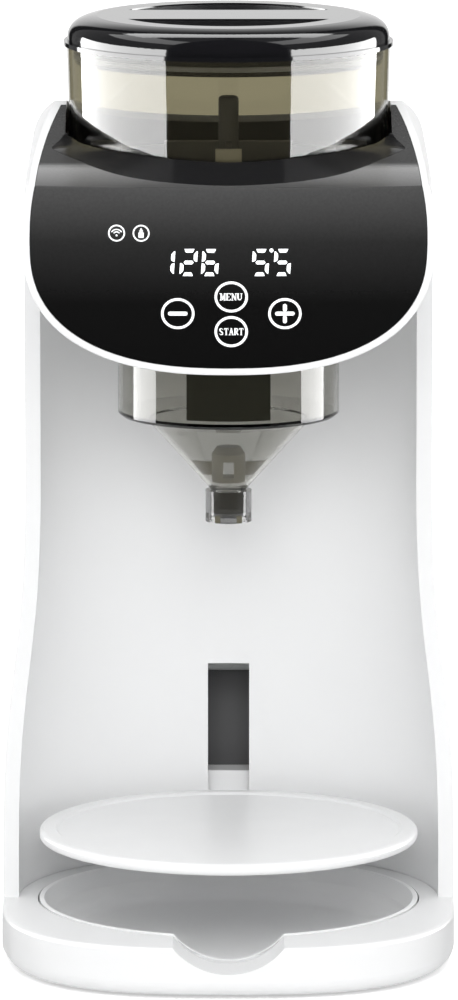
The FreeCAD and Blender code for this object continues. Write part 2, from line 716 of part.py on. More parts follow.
# ------------------------------------------------------------------ base
def make_base():
    notch = rod_y(NOTCH_R, -FAR, NOTCH_BACK_Y, 0, NOTCH_BOTTOM + NOTCH_R)
    notch_skin = rod_y(NOTCH_R + BASE_WALL, -FAR, NOTCH_BACK_Y, 0, NOTCH_BOTTOM + NOTCH_R)
    block = base_block(0.0, FOOT_HEIGHT, BASE_TOP)
    low_edges = [e for e in block.Edges if abs(e.BoundBox.ZMax - FOOT_HEIGHT) < 0.01]
    block = block.makeFillet(BASE_BOTTOM_ROUND, low_edges)
    top_edges = [e for e in block.Edges if abs(e.BoundBox.ZMin - BASE_TOP) < 0.01]
    block = block.makeFillet(BASE_TOP_ROUND, top_edges)
    lip = BASE_BOTTOM_ROUND + BASE_LIP
    plate_top = FOOT_HEIGHT + PLATE_THICKNESS
    cavity = base_block(BASE_WALL, plate_top + BASE_LIP_HEIGHT, BASE_TOP - SHELL_WALL)
    cavity = cavity.fuse(base_block(lip, FOOT_HEIGHT, plate_top + BASE_LIP_HEIGHT))
    cup = cylinder(PIT_R + SHELL_WALL, FOOT_HEIGHT, BASE_TOP)
    cavity = cavity.cut(cup).cut(notch_skin)
    pit = cylinder(PIT_R, PIT_FLOOR, BASE_TOP + OVER)
    shell = block.cut(cavity).cut(pit).cut(notch)
    roof = BASE_TOP - SHELL_WALL - OVER
    dock_port = cylinder(HOSE_R + PORT_GAP, roof, BASE_TOP + OVER, 0, VALVE_Y)
    pump_port = cylinder(HOSE_R + PORT_GAP, roof, BASE_TOP + OVER, PUMP_X, PUMP_Y)
    wire_port = cylinder(WIRE_PORT_R, roof, BASE_TOP + OVER, 0, WIRE_PORT_Y)
    bosses = [cylinder(BASE_BOSS_R, plate_top, BASE_TOP - SHELL_WALL, side * BASE_SCREW_X, y)
              for side in (-1, 1) for y in BASE_SCREW_Y]
    shell = fuse([shell.cut(dock_port).cut(pump_port).cut(wire_port)] + bosses)
    for side in (-1, 1):
        for y in BASE_SCREW_Y:
            shell = shell.cut(cylinder(SCREW_R, 0, FOOT_HEIGHT + SCREW_LENGTH, side * BASE_SCREW_X, y))
    save(shell, "base_shell")

    under = base_block(lip + SEAM, FOOT_HEIGHT, plate_top)
    under = under.cut(cylinder(PIT_R + SHELL_WALL + SEAM, 0, BASE_TOP))
    for side in (-1, 1):
        for y in BASE_SCREW_Y:
            under = under.cut(cylinder(SCREW_R + SCREW_GAP, 0, plate_top, side * BASE_SCREW_X, y))
    save(under, "bottom_plate")

    # two feet stand under the closed nose of the base, two under the bottom plate
    feet = []
    for x, y in (FRONT_FOOT, BACK_FOOT):
        for side in (-1, 1):
            foot = cylinder(FOOT_R, 0, FOOT_HEIGHT, side * x, y)
            feet.append(foot.makeFillet(FOOT_ROUND, [e for e in foot.Edges if e.BoundBox.ZMax < 0.01]))
    save(Part.makeCompound(feet), "rubber_feet")

    screws = []
    for side in (-1, 1):
        for y in BASE_SCREW_Y:
            x = side * BASE_SCREW_X
            head = cylinder(SCREW_HEAD_R, FOOT_HEIGHT - SCREW_HEAD, FOOT_HEIGHT, x, y)
            screws.append(fuse([head, cylinder(SCREW_R, FOOT_HEIGHT, FOOT_HEIGHT + SCREW_LENGTH, x, y)]))
    return screws


def make_drip_tray():
    outer = PIT_R - TRAY_GAP
    top = BASE_TOP + TRAY_PROUD

    def wall(step):
        return PIT_FLOOR + SEAT_GAP + step, TRAY_FLOOR_R - step / 2, outer - TRAY_LEAN - step

    floor_z, bend_r, bend_to = wall(0.0)
    bend_z = floor_z + TRAY_BEND
    edges = [line(point(0, 0, floor_z), point(bend_r, 0, floor_z))]
    edges.append(bezier([point(bend_r, 0, floor_z), point(bend_to, 0, floor_z), point(bend_to, 0, bend_z)]))
    edges.append(line(point(bend_to, 0, bend_z), point(outer, 0, top - TRAY_LIP)))
    edges.append(line(point(outer, 0, top - TRAY_LIP), point(outer, 0, top)))
    inner_z, inner_r, inner_to = wall(TRAY_WALL)
    bend_z = inner_z + TRAY_BEND - TRAY_WALL / 2
    edges.append(line(point(outer, 0, top), point(outer - TRAY_WALL, 0, top)))
    edges.append(line(point(outer - TRAY_WALL, 0, top), point(inner_to, 0, bend_z)))
    edges.append(bezier([point(inner_to, 0, bend_z), point(inner_to, 0, inner_z), point(inner_r, 0, inner_z)]))
    edges.append(line(point(inner_r, 0, inner_z), point(0, 0, inner_z)))
    edges.append(line(point(0, 0, inner_z), point(0, 0, floor_z)))
    tray = turned_edges(edges)
    notch = rod_y(NOTCH_R, -FAR, NOTCH_BACK_Y, 0, NOTCH_BOTTOM + NOTCH_R + TRAY_NOTCH_STEP)
    save(tray.cut(notch), "drip_tray")


# ------------------------------------------------------------------ housing
def soft_edges(body):
    """Rounds the outer edges of the head and column: the front rim, the top's sides and the back."""
    chosen = []
    for edge in body.Edges:
        room = edge.BoundBox
        at_back = room.YMin > AXIS_Y + COLUMN_DEPTH - 0.01 and room.ZMax > BASE_TOP + 0.01
        at_front = room.YMax < AXIS_Y + HEAD_FACE_Y + 8
        at_top = room.ZMin > BROW_Z - 12 and room.XLength < HEAD_HALF_BACK and room.YLength > 5
        if at_back or at_front or at_top:
            chosen.append(edge)
    return body.makeFillet(EDGE_ROUND, chosen)


def make_housing():
    past = 4 * OVER
    head = head_block(0.0, 0.0, HEAD_FACE_Y - past, COLUMN_DEPTH)
    head_room = head_block(RIM, SHELL_WALL, HEAD_FACE_Y - 2 * past, COLUMN_DEPTH + past)
    wires = [head_outline(y, RIM) for y in (HEAD_FACE_Y - 2 * past, 0.0, FASCIA_BACK_Y)]
    open_front = Part.makeLoft(wires, True, True)
    column = column_block(0.0, 0.0, COLUMN_DEPTH, BASE_TOP, HEAD_WIDE_Z)
    room = column_block(SHELL_WALL, SHELL_WALL, COLUMN_DEPTH + past, BASE_TOP - OVER, HEAD_WIDE_Z + OVER)
    niche = niche_block(0.0, BASE_TOP - OVER, HEAD_WIDE_Z + OVER)
    body = soft_edges(fuse([head, column]))
    behind_niche = box(-FAR, FAR, COLUMN_HALF_WIDTH, COLUMN_DEPTH + past, 0, HEAD_WIDE_Z)
    hollow = head_room.fuse([open_front, room.fuse(niche).cut(head), room.common(behind_niche)])
    well_hole = cylinder(HOLE_R, HEAD_WIDE_Z, FAR)
    socket_hole = cylinder(SOCKET_R + SOCKET_WALL + SEAM, 0, HEAD_WIDE_Z)
    shell = body.cut(hollow).cut(well_hole).cut(socket_hole)
    save(shell, "main_shell")

    # half-round front wall of the niche, closed at the top by the belly of the head
    panel = niche_block(-NICHE_WALL, BASE_TOP + SEAM, HEAD_WIDE_Z - OVER)
    panel = panel.cut(niche_block(0.0, BASE_TOP - OVER, HEAD_WIDE_Z + OVER))
    panel = panel.common(box(-FAR, FAR, SHELL_WALL + SEAM, FAR, 0, FAR))
    full_head = head_block(-SEAM, 0.0, HEAD_FACE_Y - past, COLUMN_DEPTH)
    slot_low = ARM_BOTTOM - PLATE_DOWN - SLOT_END
    slot_high = ARM_TOP + PLATE_UP + SLOT_END
    slot = box(-ARM_WIDTH / 2 - SLOT_GAP, ARM_WIDTH / 2 + SLOT_GAP, 0, FAR, slot_low, slot_high)
    save(panel.cut(full_head).cut(slot), "niche_panel")

    # back cover, let in between the side walls
    edge = SHELL_WALL + SEAM
    y_front = COLUMN_DEPTH - BACK_COVER_WALL
    y_back = COLUMN_DEPTH - BACK_COVER_STEP
    back = column_block(edge, y_front, y_back, BASE_TOP + SEAM, HEAD_WIDE_Z)
    top_back = head_block(edge, edge, y_front - past, COLUMN_DEPTH)
    top_back = top_back.common(box(-HEAD_HALF_BACK, HEAD_HALF_BACK, y_front, y_back,
                                   HEAD_WIDE_Z - OVER / 2, RIDGE_Z))
    back = fuse([back, top_back])
    for row in range(VENTS):
        z = HEAD_WIDE_Z - VENT_DROP + VENT_PITCH * row
        back = back.cut(box(-VENT_HALF, VENT_HALF, 0, FAR, z, z + VENT_HEIGHT))
    screws = []
    for x, z in COVER_SCREWS:
        back = back.cut(rod_y(SCREW_R + SCREW_GAP, 0, FAR, x, z))
        head_disc = rod_y(SCREW_HEAD_R, y_back, y_back + SCREW_HEAD, x, z)
        screws.append(fuse([head_disc, rod_y(SCREW_R, COLUMN_DEPTH - SCREW_LENGTH, y_back, x, z)]))
    back = back.cut(cylinder(CABLE_R, 0, BASE_TOP + CABLE_HEIGHT, 0, COLUMN_DEPTH - 2.0))
    save(back, "back_cover")
    return screws


def collar_body(section):
    """Body through the collar's stations; section gives the (radius, z) corners of one station."""
    mirrored = [(-turn, reach, rise) for turn, reach, rise in reversed(COLLAR_STATIONS[1:])]
    wires = []
    for turn, reach, rise in mirrored + COLLAR_STATIONS:
        across = math.sin(math.radians(turn))
        ahead = -math.cos(math.radians(turn))
        corners = section(reach, BROW_Z + rise, top_height(reach * ahead))
        points = [point(r * across, r * ahead, z) for r, z in corners]
        wires.append(Part.makePolygon(points + [points[0]]))
    first = len(mirrored) - COLLAR_CORNER
    last = len(mirrored) + COLLAR_CORNER
    middle = Part.makeLoft(wires[first:last + 1], True, False)
    ends = [Part.makeLoft(wires[:first + 1], True, True), Part.makeLoft(wires[last:], True, True)]
    return middle.fuse(ends)


def make_fascia():
    past = 4 * OVER
    y_back = FASCIA_BACK_Y - SEAM
    outside = head_block(RIM + SEAM, 0.0, HEAD_FACE_Y - past, COLUMN_DEPTH, FASCIA_STEP)
    inside = head_block(RIM + SEAM - past, FASCIA_WALL, HEAD_FACE_Y - past, COLUMN_DEPTH,
                        FASCIA_WALL + FASCIA_STEP)
    plate = outside.cut(inside).common(box(-FAR, FAR, -FAR, y_back, 0, FAR))
    low = BROW_Z - past
    opening = collar_body(lambda reach, rim_z, top_z: [(WELL_OUTER_R - past, low), (reach + SEAM, low),
                                                       (reach + SEAM, RIDGE_Z), (WELL_OUTER_R - past, RIDGE_Z)])
    between = box(-HORN_INNER_X, HORN_INNER_X, HORN_START_Y, FAR, low, FAR)
    plate = plate.cut(opening).cut(between).cut(cylinder(HOLE_R, low, FAR))
    rails = []
    for side in (-1, 1):
        near, away = sorted((side * (HORN_INNER_X - HORN_RAIL_STEP), side * (HORN_INNER_X + HORN_RAIL)))
        rail = box(near, away, HORN_START_Y + 2 * HORN_RAIL_STEP, y_back, RIDGE_Z - HORN_RAIL_DEPTH, RIDGE_Z)
        rails.append(rail.common(under_top(0.0)))
    bosses = []
    for x in (-FASCIA_BOSS_X, FASCIA_BOSS_X):
        face = HEAD_FACE_Y + HEAD_FACE_R - math.sqrt(HEAD_FACE_R ** 2 - x ** 2) + FASCIA_STEP
        for z in FASCIA_BOSS_Z:
            bosses.append(rod_y(FASCIA_BOSS_R, face + FASCIA_WALL / 2, BOARD_FRONT_Y, x, z))
    save(fuse([plate] + rails + bosses), "front_fascia")


def make_collar():
    # crescent that rises from the black top to the container's wall, standing on the well's rim
    def section(reach, rim_z, top_z):
        return [(COLLAR_INNER_R - OVER, WELL_RIM_Z), (COLLAR_INNER_R - OVER, rim_z - 2 * COLLAR_EDGE),
                (COLLAR_INNER_R + COLLAR_EDGE, rim_z), (reach, top_z), (reach, top_z - COLLAR_WALL),
                (COLLAR_INNER_R + COLLAR_FOOT, WELL_RIM_Z + COLLAR_FOOT),
                (COLLAR_INNER_R + COLLAR_FOOT, WELL_RIM_Z)]

    save(collar_body(section).cut(cylinder(COLLAR_INNER_R, 0, FAR)).removeSplitter(), "well_collar")


def make_well():
    def radius(z):
        return container_radius(z) + WELL_GAP

    floor_r = radius(WELL_FLOOR_TOP)
    cup = turned([(0, WELL_FLOOR_BOTTOM), (floor_r + WELL_WALL, WELL_FLOOR_BOTTOM),
                  (radius(WELL_RIM_Z) + WELL_WALL, WELL_RIM_Z), (radius(WELL_RIM_Z), WELL_RIM_Z),
                  (floor_r, WELL_FLOOR_TOP), (0, WELL_FLOOR_TOP)])
    boss_z = WELL_FLOOR_BOTTOM - BUSH_DROP
    cup = fuse([cup, cylinder(BUSH_BOSS_R, boss_z, WELL_FLOOR_TOP)])
    cup = cup.cut(cylinder(BUSH_R + SEAT_GAP, 0, FAR))
    cup = cup.cut(cylinder(CHUTE_R + CHUTE_WALL + SEAT_GAP, 0, FAR, 0, CHUTE_Y))
    feet = [cylinder(WELL_FOOT_R, SOCKET_TOP + SOCKET_ROOF, WELL_FLOOR_BOTTOM, x, y) for x, y in WELL_FEET]
    save(fuse([cup] + feet), "container_well")

    hole_r = SHAFT_R + RUNNING_GAP
    sleeve = ring(BUSH_R, hole_r, boss_z, WELL_FLOOR_TOP)
    flange = ring(BUSH_FLANGE_R, hole_r, boss_z - BUSH_FLANGE, boss_z)
    save(fuse([sleeve, flange]), "shaft_bush")


def make_funnel_socket():
    # open cup under the head: the funnel's skirt pushes up into it
    bottom = HEAD_WIDE_Z - HEAD_BELLY + 1.0
    wall = ring(SOCKET_R + SOCKET_WALL, SOCKET_R, bottom, SOCKET_TOP)
    roof = cylinder(SOCKET_R + SOCKET_WALL, SOCKET_TOP, SOCKET_TOP + SOCKET_ROOF)
    roof = roof.cut(cylinder(CHUTE_R, 0, FAR, 0, CHUTE_Y))
    roof = roof.cut(cylinder(SPOUT_HOLE_R, 0, FAR, SPOUT_X, SPOUT_Y))
    ledge = box(-LEDGE_HALF, LEDGE_HALF, LEDGE_FRONT, LEDGE_BACK, SOCKET_TOP, SOCKET_TOP + SOCKET_ROOF)
    ledge = ledge.cut(cylinder(SPOUT_HOLE_R, 0, FAR, SPOUT_X, SPOUT_Y))
    chute = ring(CHUTE_R + CHUTE_WALL, CHUTE_R, SOCKET_TOP, WELL_FLOOR_TOP, 0, CHUTE_Y)
    idler_post = cylinder(SHAFT_R, SOCKET_TOP + SOCKET_ROOF, GEAR_TOP + 1.5, 0, IDLER_Y)
    save(fuse([wall, roof, ledge, idler_post, chute]), "funnel_socket")


# ------------------------------------------------------------------ dosing drive
def make_drive():
    hole_r = SHAFT_R + RUNNING_GAP
    tooth = math.pi / DRIVE_TEETH
    drive = gear(DRIVE_TEETH, GEAR_BOTTOM, SHAFT_R, 0, 0, math.pi / 2 + tooth)
    shaft = cylinder(SHAFT_R, GEAR_BOTTOM - SHAFT_END, CONTAINER_BOTTOM - OVER)
    half = DRIVE_FLAT / 2
    square = box(-half, half, -half, half, CONTAINER_BOTTOM - OVER, DISC_BOTTOM + DRIVE_REACH)
    save(drive, "drive_gear")
    save(fuse([shaft, square]), "drive_shaft")

    idler = gear(IDLER_TEETH, GEAR_BOTTOM, hole_r, 0, IDLER_Y, -math.pi / 2)
    for i in range(IDLER_HOLES):
        angle = 2 * math.pi * i / IDLER_HOLES
        idler = idler.cut(cylinder(IDLER_HOLE_R, 0, FAR, IDLER_HOLE_CIRCLE * math.cos(angle),
                                   IDLER_Y + IDLER_HOLE_CIRCLE * math.sin(angle)))
    save(idler, "idler_gear")

    gap = math.pi / PINION_TEETH
    gearbox_z = GEAR_TOP + MOTOR_LIFT
    pinion = gear(PINION_TEETH, GEAR_BOTTOM, PINION_SHAFT_R, 0, PINION_Y, -math.pi / 2 + gap)
    shaft = cylinder(PINION_SHAFT_R, GEAR_BOTTOM - OVER, gearbox_z + 2.0, 0, PINION_Y)
    save(Part.makeCompound([pinion, shaft]), "motor_pinion")

    can_z = gearbox_z + GEARBOX_HEIGHT
    top_z = gearbox_z + MOTOR_HEIGHT
    gearbox = box(-MOTOR_R, MOTOR_R, PINION_Y - MOTOR_R, PINION_Y + MOTOR_R, gearbox_z, can_z)
    boss = cylinder(MOTOR_BOSS_R, GEAR_TOP + 1.5, gearbox_z, 0, PINION_Y)
    can = cylinder(MOTOR_R - 0.6, can_z, top_z, 0, PINION_Y)
    nose = cylinder(MOTOR_NOSE_R, top_z, top_z + 2.0, 0, PINION_Y)
    motor = fuse([gearbox, boss, can, nose])
    bore = cylinder(PINION_SHAFT_R + RUNNING_GAP, GEAR_BOTTOM, gearbox_z + 2.6, 0, PINION_Y)
    save(motor.cut(bore), "gear_motor")

    shelf = box(-BRACKET_HALF, BRACKET_HALF, PINION_Y - MOTOR_R - 2.0, FRAME_Y,
                gearbox_z - BRACKET_THICKNESS, gearbox_z)
    shelf = shelf.cut(cylinder(MOTOR_BOSS_R + 0.2, 0, FAR, 0, PINION_Y))
    well_side = cylinder(container_radius(gearbox_z) + WELL_GAP + WELL_WALL + 1.0, 0, FAR)
    leg_x = BRACKET_HALF - BRACKET_LEG / 2 - 1.0
    legs = [box(side * leg_x - BRACKET_LEG / 2, side * leg_x + BRACKET_LEG / 2,
                LEDGE_BACK - 3.0 - BRACKET_LEG_DEPTH, LEDGE_BACK - 3.0, SOCKET_TOP + SOCKET_ROOF, gearbox_z)
            for side in (-1, 1)]
    save(fuse([shelf.cut(well_side)] + legs), "motor_bracket")


# ------------------------------------------------------------------ powder container
def make_container():
    wall_in = CONTAINER_WALL
    skirt = turned([(CONTAINER_R_BOTTOM, CONTAINER_BOTTOM), (CONTAINER_R_TOP, CONTAINER_TOP),
                    (CONTAINER_R_TOP - wall_in, CONTAINER_TOP),
                    (CONTAINER_R_BOTTOM - wall_in, CONTAINER_BOTTOM)])
    save(skirt, "powder_container")

    floor_top = DISC_BOTTOM - FLOOR_GAP
    floor = cylinder(container_radius(CONTAINER_BOTTOM) - wall_in - SEAT_GAP, CONTAINER_BOTTOM, floor_top)
    floor = floor.cut(cylinder(SPIGOT_R + 0.3, 0, FAR))
    floor = floor.cut(cylinder(CHUTE_R, 0, FAR, 0, CHUTE_Y))
    rim = ring(container_radius(floor_top) - wall_in - SEAT_GAP, DISC_R + WHEEL_GAP, floor_top,
               floor_top + FLOOR_RIM)
    feet = []
    for i in range(FLOOR_FEET):
        angle = math.radians(30) + 2 * math.pi * i / FLOOR_FEET
        feet.append(cylinder(FLOOR_FOOT_R, WELL_FLOOR_TOP + SEAT_GAP, CONTAINER_BOTTOM,
                             FLOOR_FOOT_CIRCLE * math.cos(angle), FLOOR_FOOT_CIRCLE * math.sin(angle)))
    save(fuse([floor, rim] + feet), "container_floor")

    # fixed leveller over the outlet, which wipes each pocket flush
    bottom = DISC_TOP + LEVELLER_GAP
    reach = container_radius(DISC_TOP) - wall_in - SEAM
    plate = cylinder(reach, bottom, bottom + LEVELLER_THICKNESS)
    fan = upright_prism([(-6.0, -14.0), (6.0, -14.0), (30.0, -70.0), (-30.0, -70.0)], DISC_TOP, RIDGE_Z)
    tab = box(-TAB_WIDTH / 2, TAB_WIDTH / 2, -reach, -reach + TAB_DEPTH, bottom, BROW_Z + 12.7)
    tab = tab.common(cylinder(reach, DISC_TOP, RIDGE_Z))
    save(fuse([plate.common(fan), tab]), "powder_leveller")


def make_dosing_wheel():
    wheel = cylinder(DISC_R, DISC_BOTTOM, DISC_TOP)
    rim_edges = [e for e in wheel.Edges if e.BoundBox.ZMin > DISC_TOP - 0.01]
    wheel = wheel.makeFillet(1.0, rim_edges)
    for i in range(POCKETS):
        angle = math.pi / 2 + 2 * math.pi * (i + 0.5) / POCKETS
        wheel = wheel.cut(cylinder(POCKET_R, 0, FAR, POCKET_CIRCLE * math.cos(angle),
                                   POCKET_CIRCLE * math.sin(angle)))
    hub_top = DISC_TOP + HUB_HEIGHT
    hub = cylinder(HUB_R, DISC_BOTTOM, hub_top)
    spigot = cylinder(SPIGOT_R, CONTAINER_BOTTOM + 0.4, DISC_BOTTOM)
    half = DRIVE_FLAT / 2 + DRIVE_GAP
    socket = box(-half, half, -half, half, CONTAINER_BOTTOM, DISC_BOTTOM + DRIVE_REACH + 1.0)
    save(fuse([wheel, hub, spigot]).cut(socket), "dosing_wheel")

    post = cylinder(POST_R, hub_top, POST_TOP)
    cap_edges = [e for e in post.Edges if e.BoundBox.ZMin > POST_TOP - 0.01]
    post = post.makeFillet(1.5, cap_edges)
    reach = container_radius(BLADE_Z) - CONTAINER_WALL - TAB_DEPTH - 3.4
    width = BLADE_WIDTH / 2
    top = BLADE_Z + BLADE_HEIGHT
    blade = box(-reach, reach, -width, width, BLADE_Z, top)
    cross = box(-width, width, -reach, reach, BLADE_Z, top)
    stirrer = fuse([post, blade, cross])
    places = [(LOOP_CIRCLE, 0.0), (0.0, LOOP_CIRCLE), (-LOOP_CIRCLE, 0.0), (0.0, -LOOP_CIRCLE)]
    for x, y in places:
        stirrer = stirrer.cut(cylinder(LOOP_R, 0, FAR, x, y))
    rings = [ring(LOOP_R + LOOP_WALL, LOOP_R, BLADE_Z, BLADE_Z + LOOP_HEIGHT, x, y) for x, y in places]
    stirrer = fuse([stirrer] + rings)
    save(stirrer.cut(ring(CONTAINER_R_TOP, STIRRER_R, BLADE_Z - OVER, top + OVER)), "stirrer")


def make_lid():
    bottom = CONTAINER_TOP + 0.05
    top = CONTAINER_TOP + LID_HEIGHT
    flange_z = bottom + LID_FLANGE
    bend_z = top - LID_ROUND
    crown_r = LID_BODY_R - LID_SHOULDER
    edges = [line(point(0, 0, bottom), point(LID_R, 0, bottom))]
    edges.append(line(point(LID_R, 0, bottom), point(LID_R, 0, flange_z)))
    edges.append(line(point(LID_R, 0, flange_z), point(LID_BODY_R, 0, flange_z)))
    edges.append(line(point(LID_BODY_R, 0, flange_z), point(LID_BODY_R, 0, bend_z)))
    edges.append(bezier([point(LID_BODY_R, 0, bend_z), point(LID_BODY_R - 0.3, 0, top - 1.2),
                         point(crown_r, 0, top)]))
    edges.append(line(point(crown_r, 0, top), point(0, 0, top)))
    edges.append(line(point(0, 0, top), point(0, 0, bottom)))
    cap = turned_edges(edges)
    bar = box(-FAR, FAR, -GRIP_BAR / 2, GRIP_BAR / 2, 0, FAR)
    dish = cone(RECESS_R - RECESS_DRAFT, RECESS_R, top - RECESS_DEPTH, top + 0.01)
    cap = cap.cut(dish.cut(bar))
    plug_r = CONTAINER_R_TOP - CONTAINER_WALL - PLUG_GAP
    plug = ring(plug_r, plug_r - LID_WALL, CONTAINER_TOP - PLUG_DEPTH, bottom)
    seal_z = CONTAINER_TOP - SEAL_DROP
    groove = ring(plug_r + OVER, plug_r - SEAL_HALF - 0.05, seal_z - SEAT_GAP, seal_z + SEAL_HEIGHT + SEAT_GAP)
    hollow = cylinder(plug_r - LID_WALL, bottom - OVER, top - RECESS_DEPTH - LID_WALL)
    save(fuse([cap, plug]).cut(groove).cut(hollow), "container_lid")
    save(ring(plug_r + SEAL_HALF, plug_r - SEAL_HALF, seal_z, seal_z + SEAL_HEIGHT), "lid_seal")


# ------------------------------------------------------------------ funnel
def make_funnel():
    wall = FUNNEL_WALL
    step_z = NOZZLE_BOTTOM + NOZZLE_STEP
    cone_in = CONE_TOP_R - wall * 0.7
    foot_z = CONE_END_Z + 0.8
    outer = [(SKIRT_R, SKIRT_TOP), (SKIRT_R, SKIRT_BOTTOM + 1.2), (SKIRT_R - 1.2, SKIRT_BOTTOM),
             (CONE_TOP_R, CONE_TOP_Z), (OUTLET_R, CONE_END_Z), (OUTLET_R, step_z)]
    inner = [(NOZZLE_BORE_R, step_z), (NOZZLE_BORE_R, foot_z), (cone_in, CONE_TOP_Z + wall),
             (SKIRT_R - wall, SKIRT_BOTTOM + wall + 0.4), (SKIRT_R - wall, SKIRT_TOP)]
    save(turned(outer + inner), "mixing_funnel")

    nozzle = ring(NOZZLE_R, OUTLET_R + 0.02, NOZZLE_BOTTOM, CONE_END_Z - 0.3)
    lip = ring(OUTLET_R + 0.5, NOZZLE_BORE_R, NOZZLE_BOTTOM, step_z - SEAT_GAP)
    nozzle = fuse([nozzle, lip])
    for i in range(NOZZLE_SLOTS):
        slot = Part.makeBox(NOZZLE_SLOT, SKIRT_R, NOZZLE_SLOT_HEIGHT + OVER,
                            Vector(-NOZZLE_SLOT / 2, NOZZLE_SLOT, 0))
        slot.rotate(Vector(0, 0, 0), Vector(0, 0, 1), 360 * (i + 0.5) / NOZZLE_SLOTS)
        slot.translate(point(0, 0, NOZZLE_BOTTOM - OVER))
        nozzle = nozzle.cut(slot)
    save(nozzle, "nozzle_tip")

    # light tube that swirls water into the powder, standing on two ribs in the cone
    tube_z = CONE_END_Z + MIX_TUBE_FOOT
    bore = MIX_TUBE_R - MIX_TUBE_WALL
    tube = turned([(MIX_TUBE_R, tube_z), (MIX_TUBE_R, MIX_TUBE_TOP - 3.0), (MIX_TUBE_R - 2.0, MIX_TUBE_TOP),
                   (0, MIX_TUBE_TOP + 0.8), (0, MIX_TUBE_TOP - 0.8), (bore - 1.2, MIX_TUBE_TOP - 1.8),
                   (bore, MIX_TUBE_TOP - MIX_TUBE_FOOT), (bore, tube_z)])
    window = box(-MIX_WINDOW / 2, MIX_WINDOW / 2, -FAR, FAR, tube_z + 2.0, MIX_TUBE_TOP - 6.0)
    ribs = [box(MIX_TUBE_R - 0.8, CONE_TOP_R, -MIX_RIB / 2, MIX_RIB / 2, tube_z + 2.5,
                tube_z + 2.5 + MIX_RIB_HEIGHT),
            box(-CONE_TOP_R, 0.8 - MIX_TUBE_R, -MIX_RIB / 2, MIX_RIB / 2, tube_z + 2.5,
                tube_z + 2.5 + MIX_RIB_HEIGHT)]
    slope = (cone_in - NOZZLE_BORE_R) / (CONE_TOP_Z + wall - foot_z)
    near_r = NOZZLE_BORE_R - 0.05
    inside_cone = cone(near_r, near_r + slope * (CONE_TOP_Z - foot_z), foot_z, CONE_TOP_Z)
    save(fuse([tube.cut(window)] + ribs).common(inside_cone), "mixing_insert")


# ------------------------------------------------------------------ bottle plate
def make_bottle_plate():
    r = BOTTLE_PLATE_R
    top = BOTTLE_PLATE_TOP
    under = PLATE_UNDER
    bend = PLATE_ROUND
    diagonal = bend * (1 - math.sqrt(0.5))
    edges = [line(point(0, 0, under), point(r - bend, 0, under))]
    edges.append(arc(point(r - bend, 0, under), point(r - diagonal, 0, under + diagonal),
                     point(r, 0, under + bend)))
    edges.append(line(point(r, 0, under + bend), point(r, 0, top - bend)))
    edges.append(arc(point(r, 0, top - bend), point(r - diagonal, 0, top - diagonal),
                     point(r - bend, 0, top)))
    edges.append(line(point(r - bend, 0, top), point(RIM_INNER_R + RIM_BEVEL, 0, top)))
    edges.append(line(point(RIM_INNER_R + RIM_BEVEL, 0, top), point(RIM_INNER_R, 0, top - RIM_STEP)))
    edges.append(line(point(RIM_INNER_R, 0, top - RIM_STEP), point(0, 0, top - RIM_STEP)))
    edges.append(line(point(0, 0, top - RIM_STEP), point(0, 0, under)))
    save(turned_edges(edges), "bottle_plate")

    half = ARM_WIDTH / 2
    wide = ROD_SPREAD + CARRIAGE_SIDE
    block_bottom = BASE_TOP + PLATE_DOWN + 2.0
    block_top = block_bottom + CARRIAGE_HEIGHT
    arm = box(-half, half, ARM_START, CARRIAGE_Y, ARM_BOTTOM, ARM_TOP)
    carriage = fuse([arm, box(-wide, wide, CARRIAGE_Y, CARRIAGE_Y + CARRIAGE_DEPTH, block_bottom, block_top)])
    tie_top = ROD_TOP - TIE_DROP
    tie = box(-wide, wide, ROD_Y - TIE_FRONT, FRAME_Y, tie_top - TIE_HEIGHT, tie_top)
    bushes = []
    rods = []
    for x in (-ROD_SPREAD, ROD_SPREAD):
        carriage = carriage.cut(cylinder(ROD_R + BUSH_WALL, 0, FAR, x, ROD_Y))
        tie = tie.cut(cylinder(ROD_R, 0, FAR, x, ROD_Y))
        bushes.append(ring(ROD_R + BUSH_WALL, ROD_R + RUNNING_GAP, block_bottom, block_top, x, ROD_Y))
        rods.append(cylinder(ROD_R, BASE_TOP, ROD_TOP, x, ROD_Y))
    save(carriage, "plate_carriage")
    save(Part.makeCompound(bushes), "carriage_bushes")
    save(Part.makeCompound(rods), "guide_rods")
    save(tie, "rod_clamp")


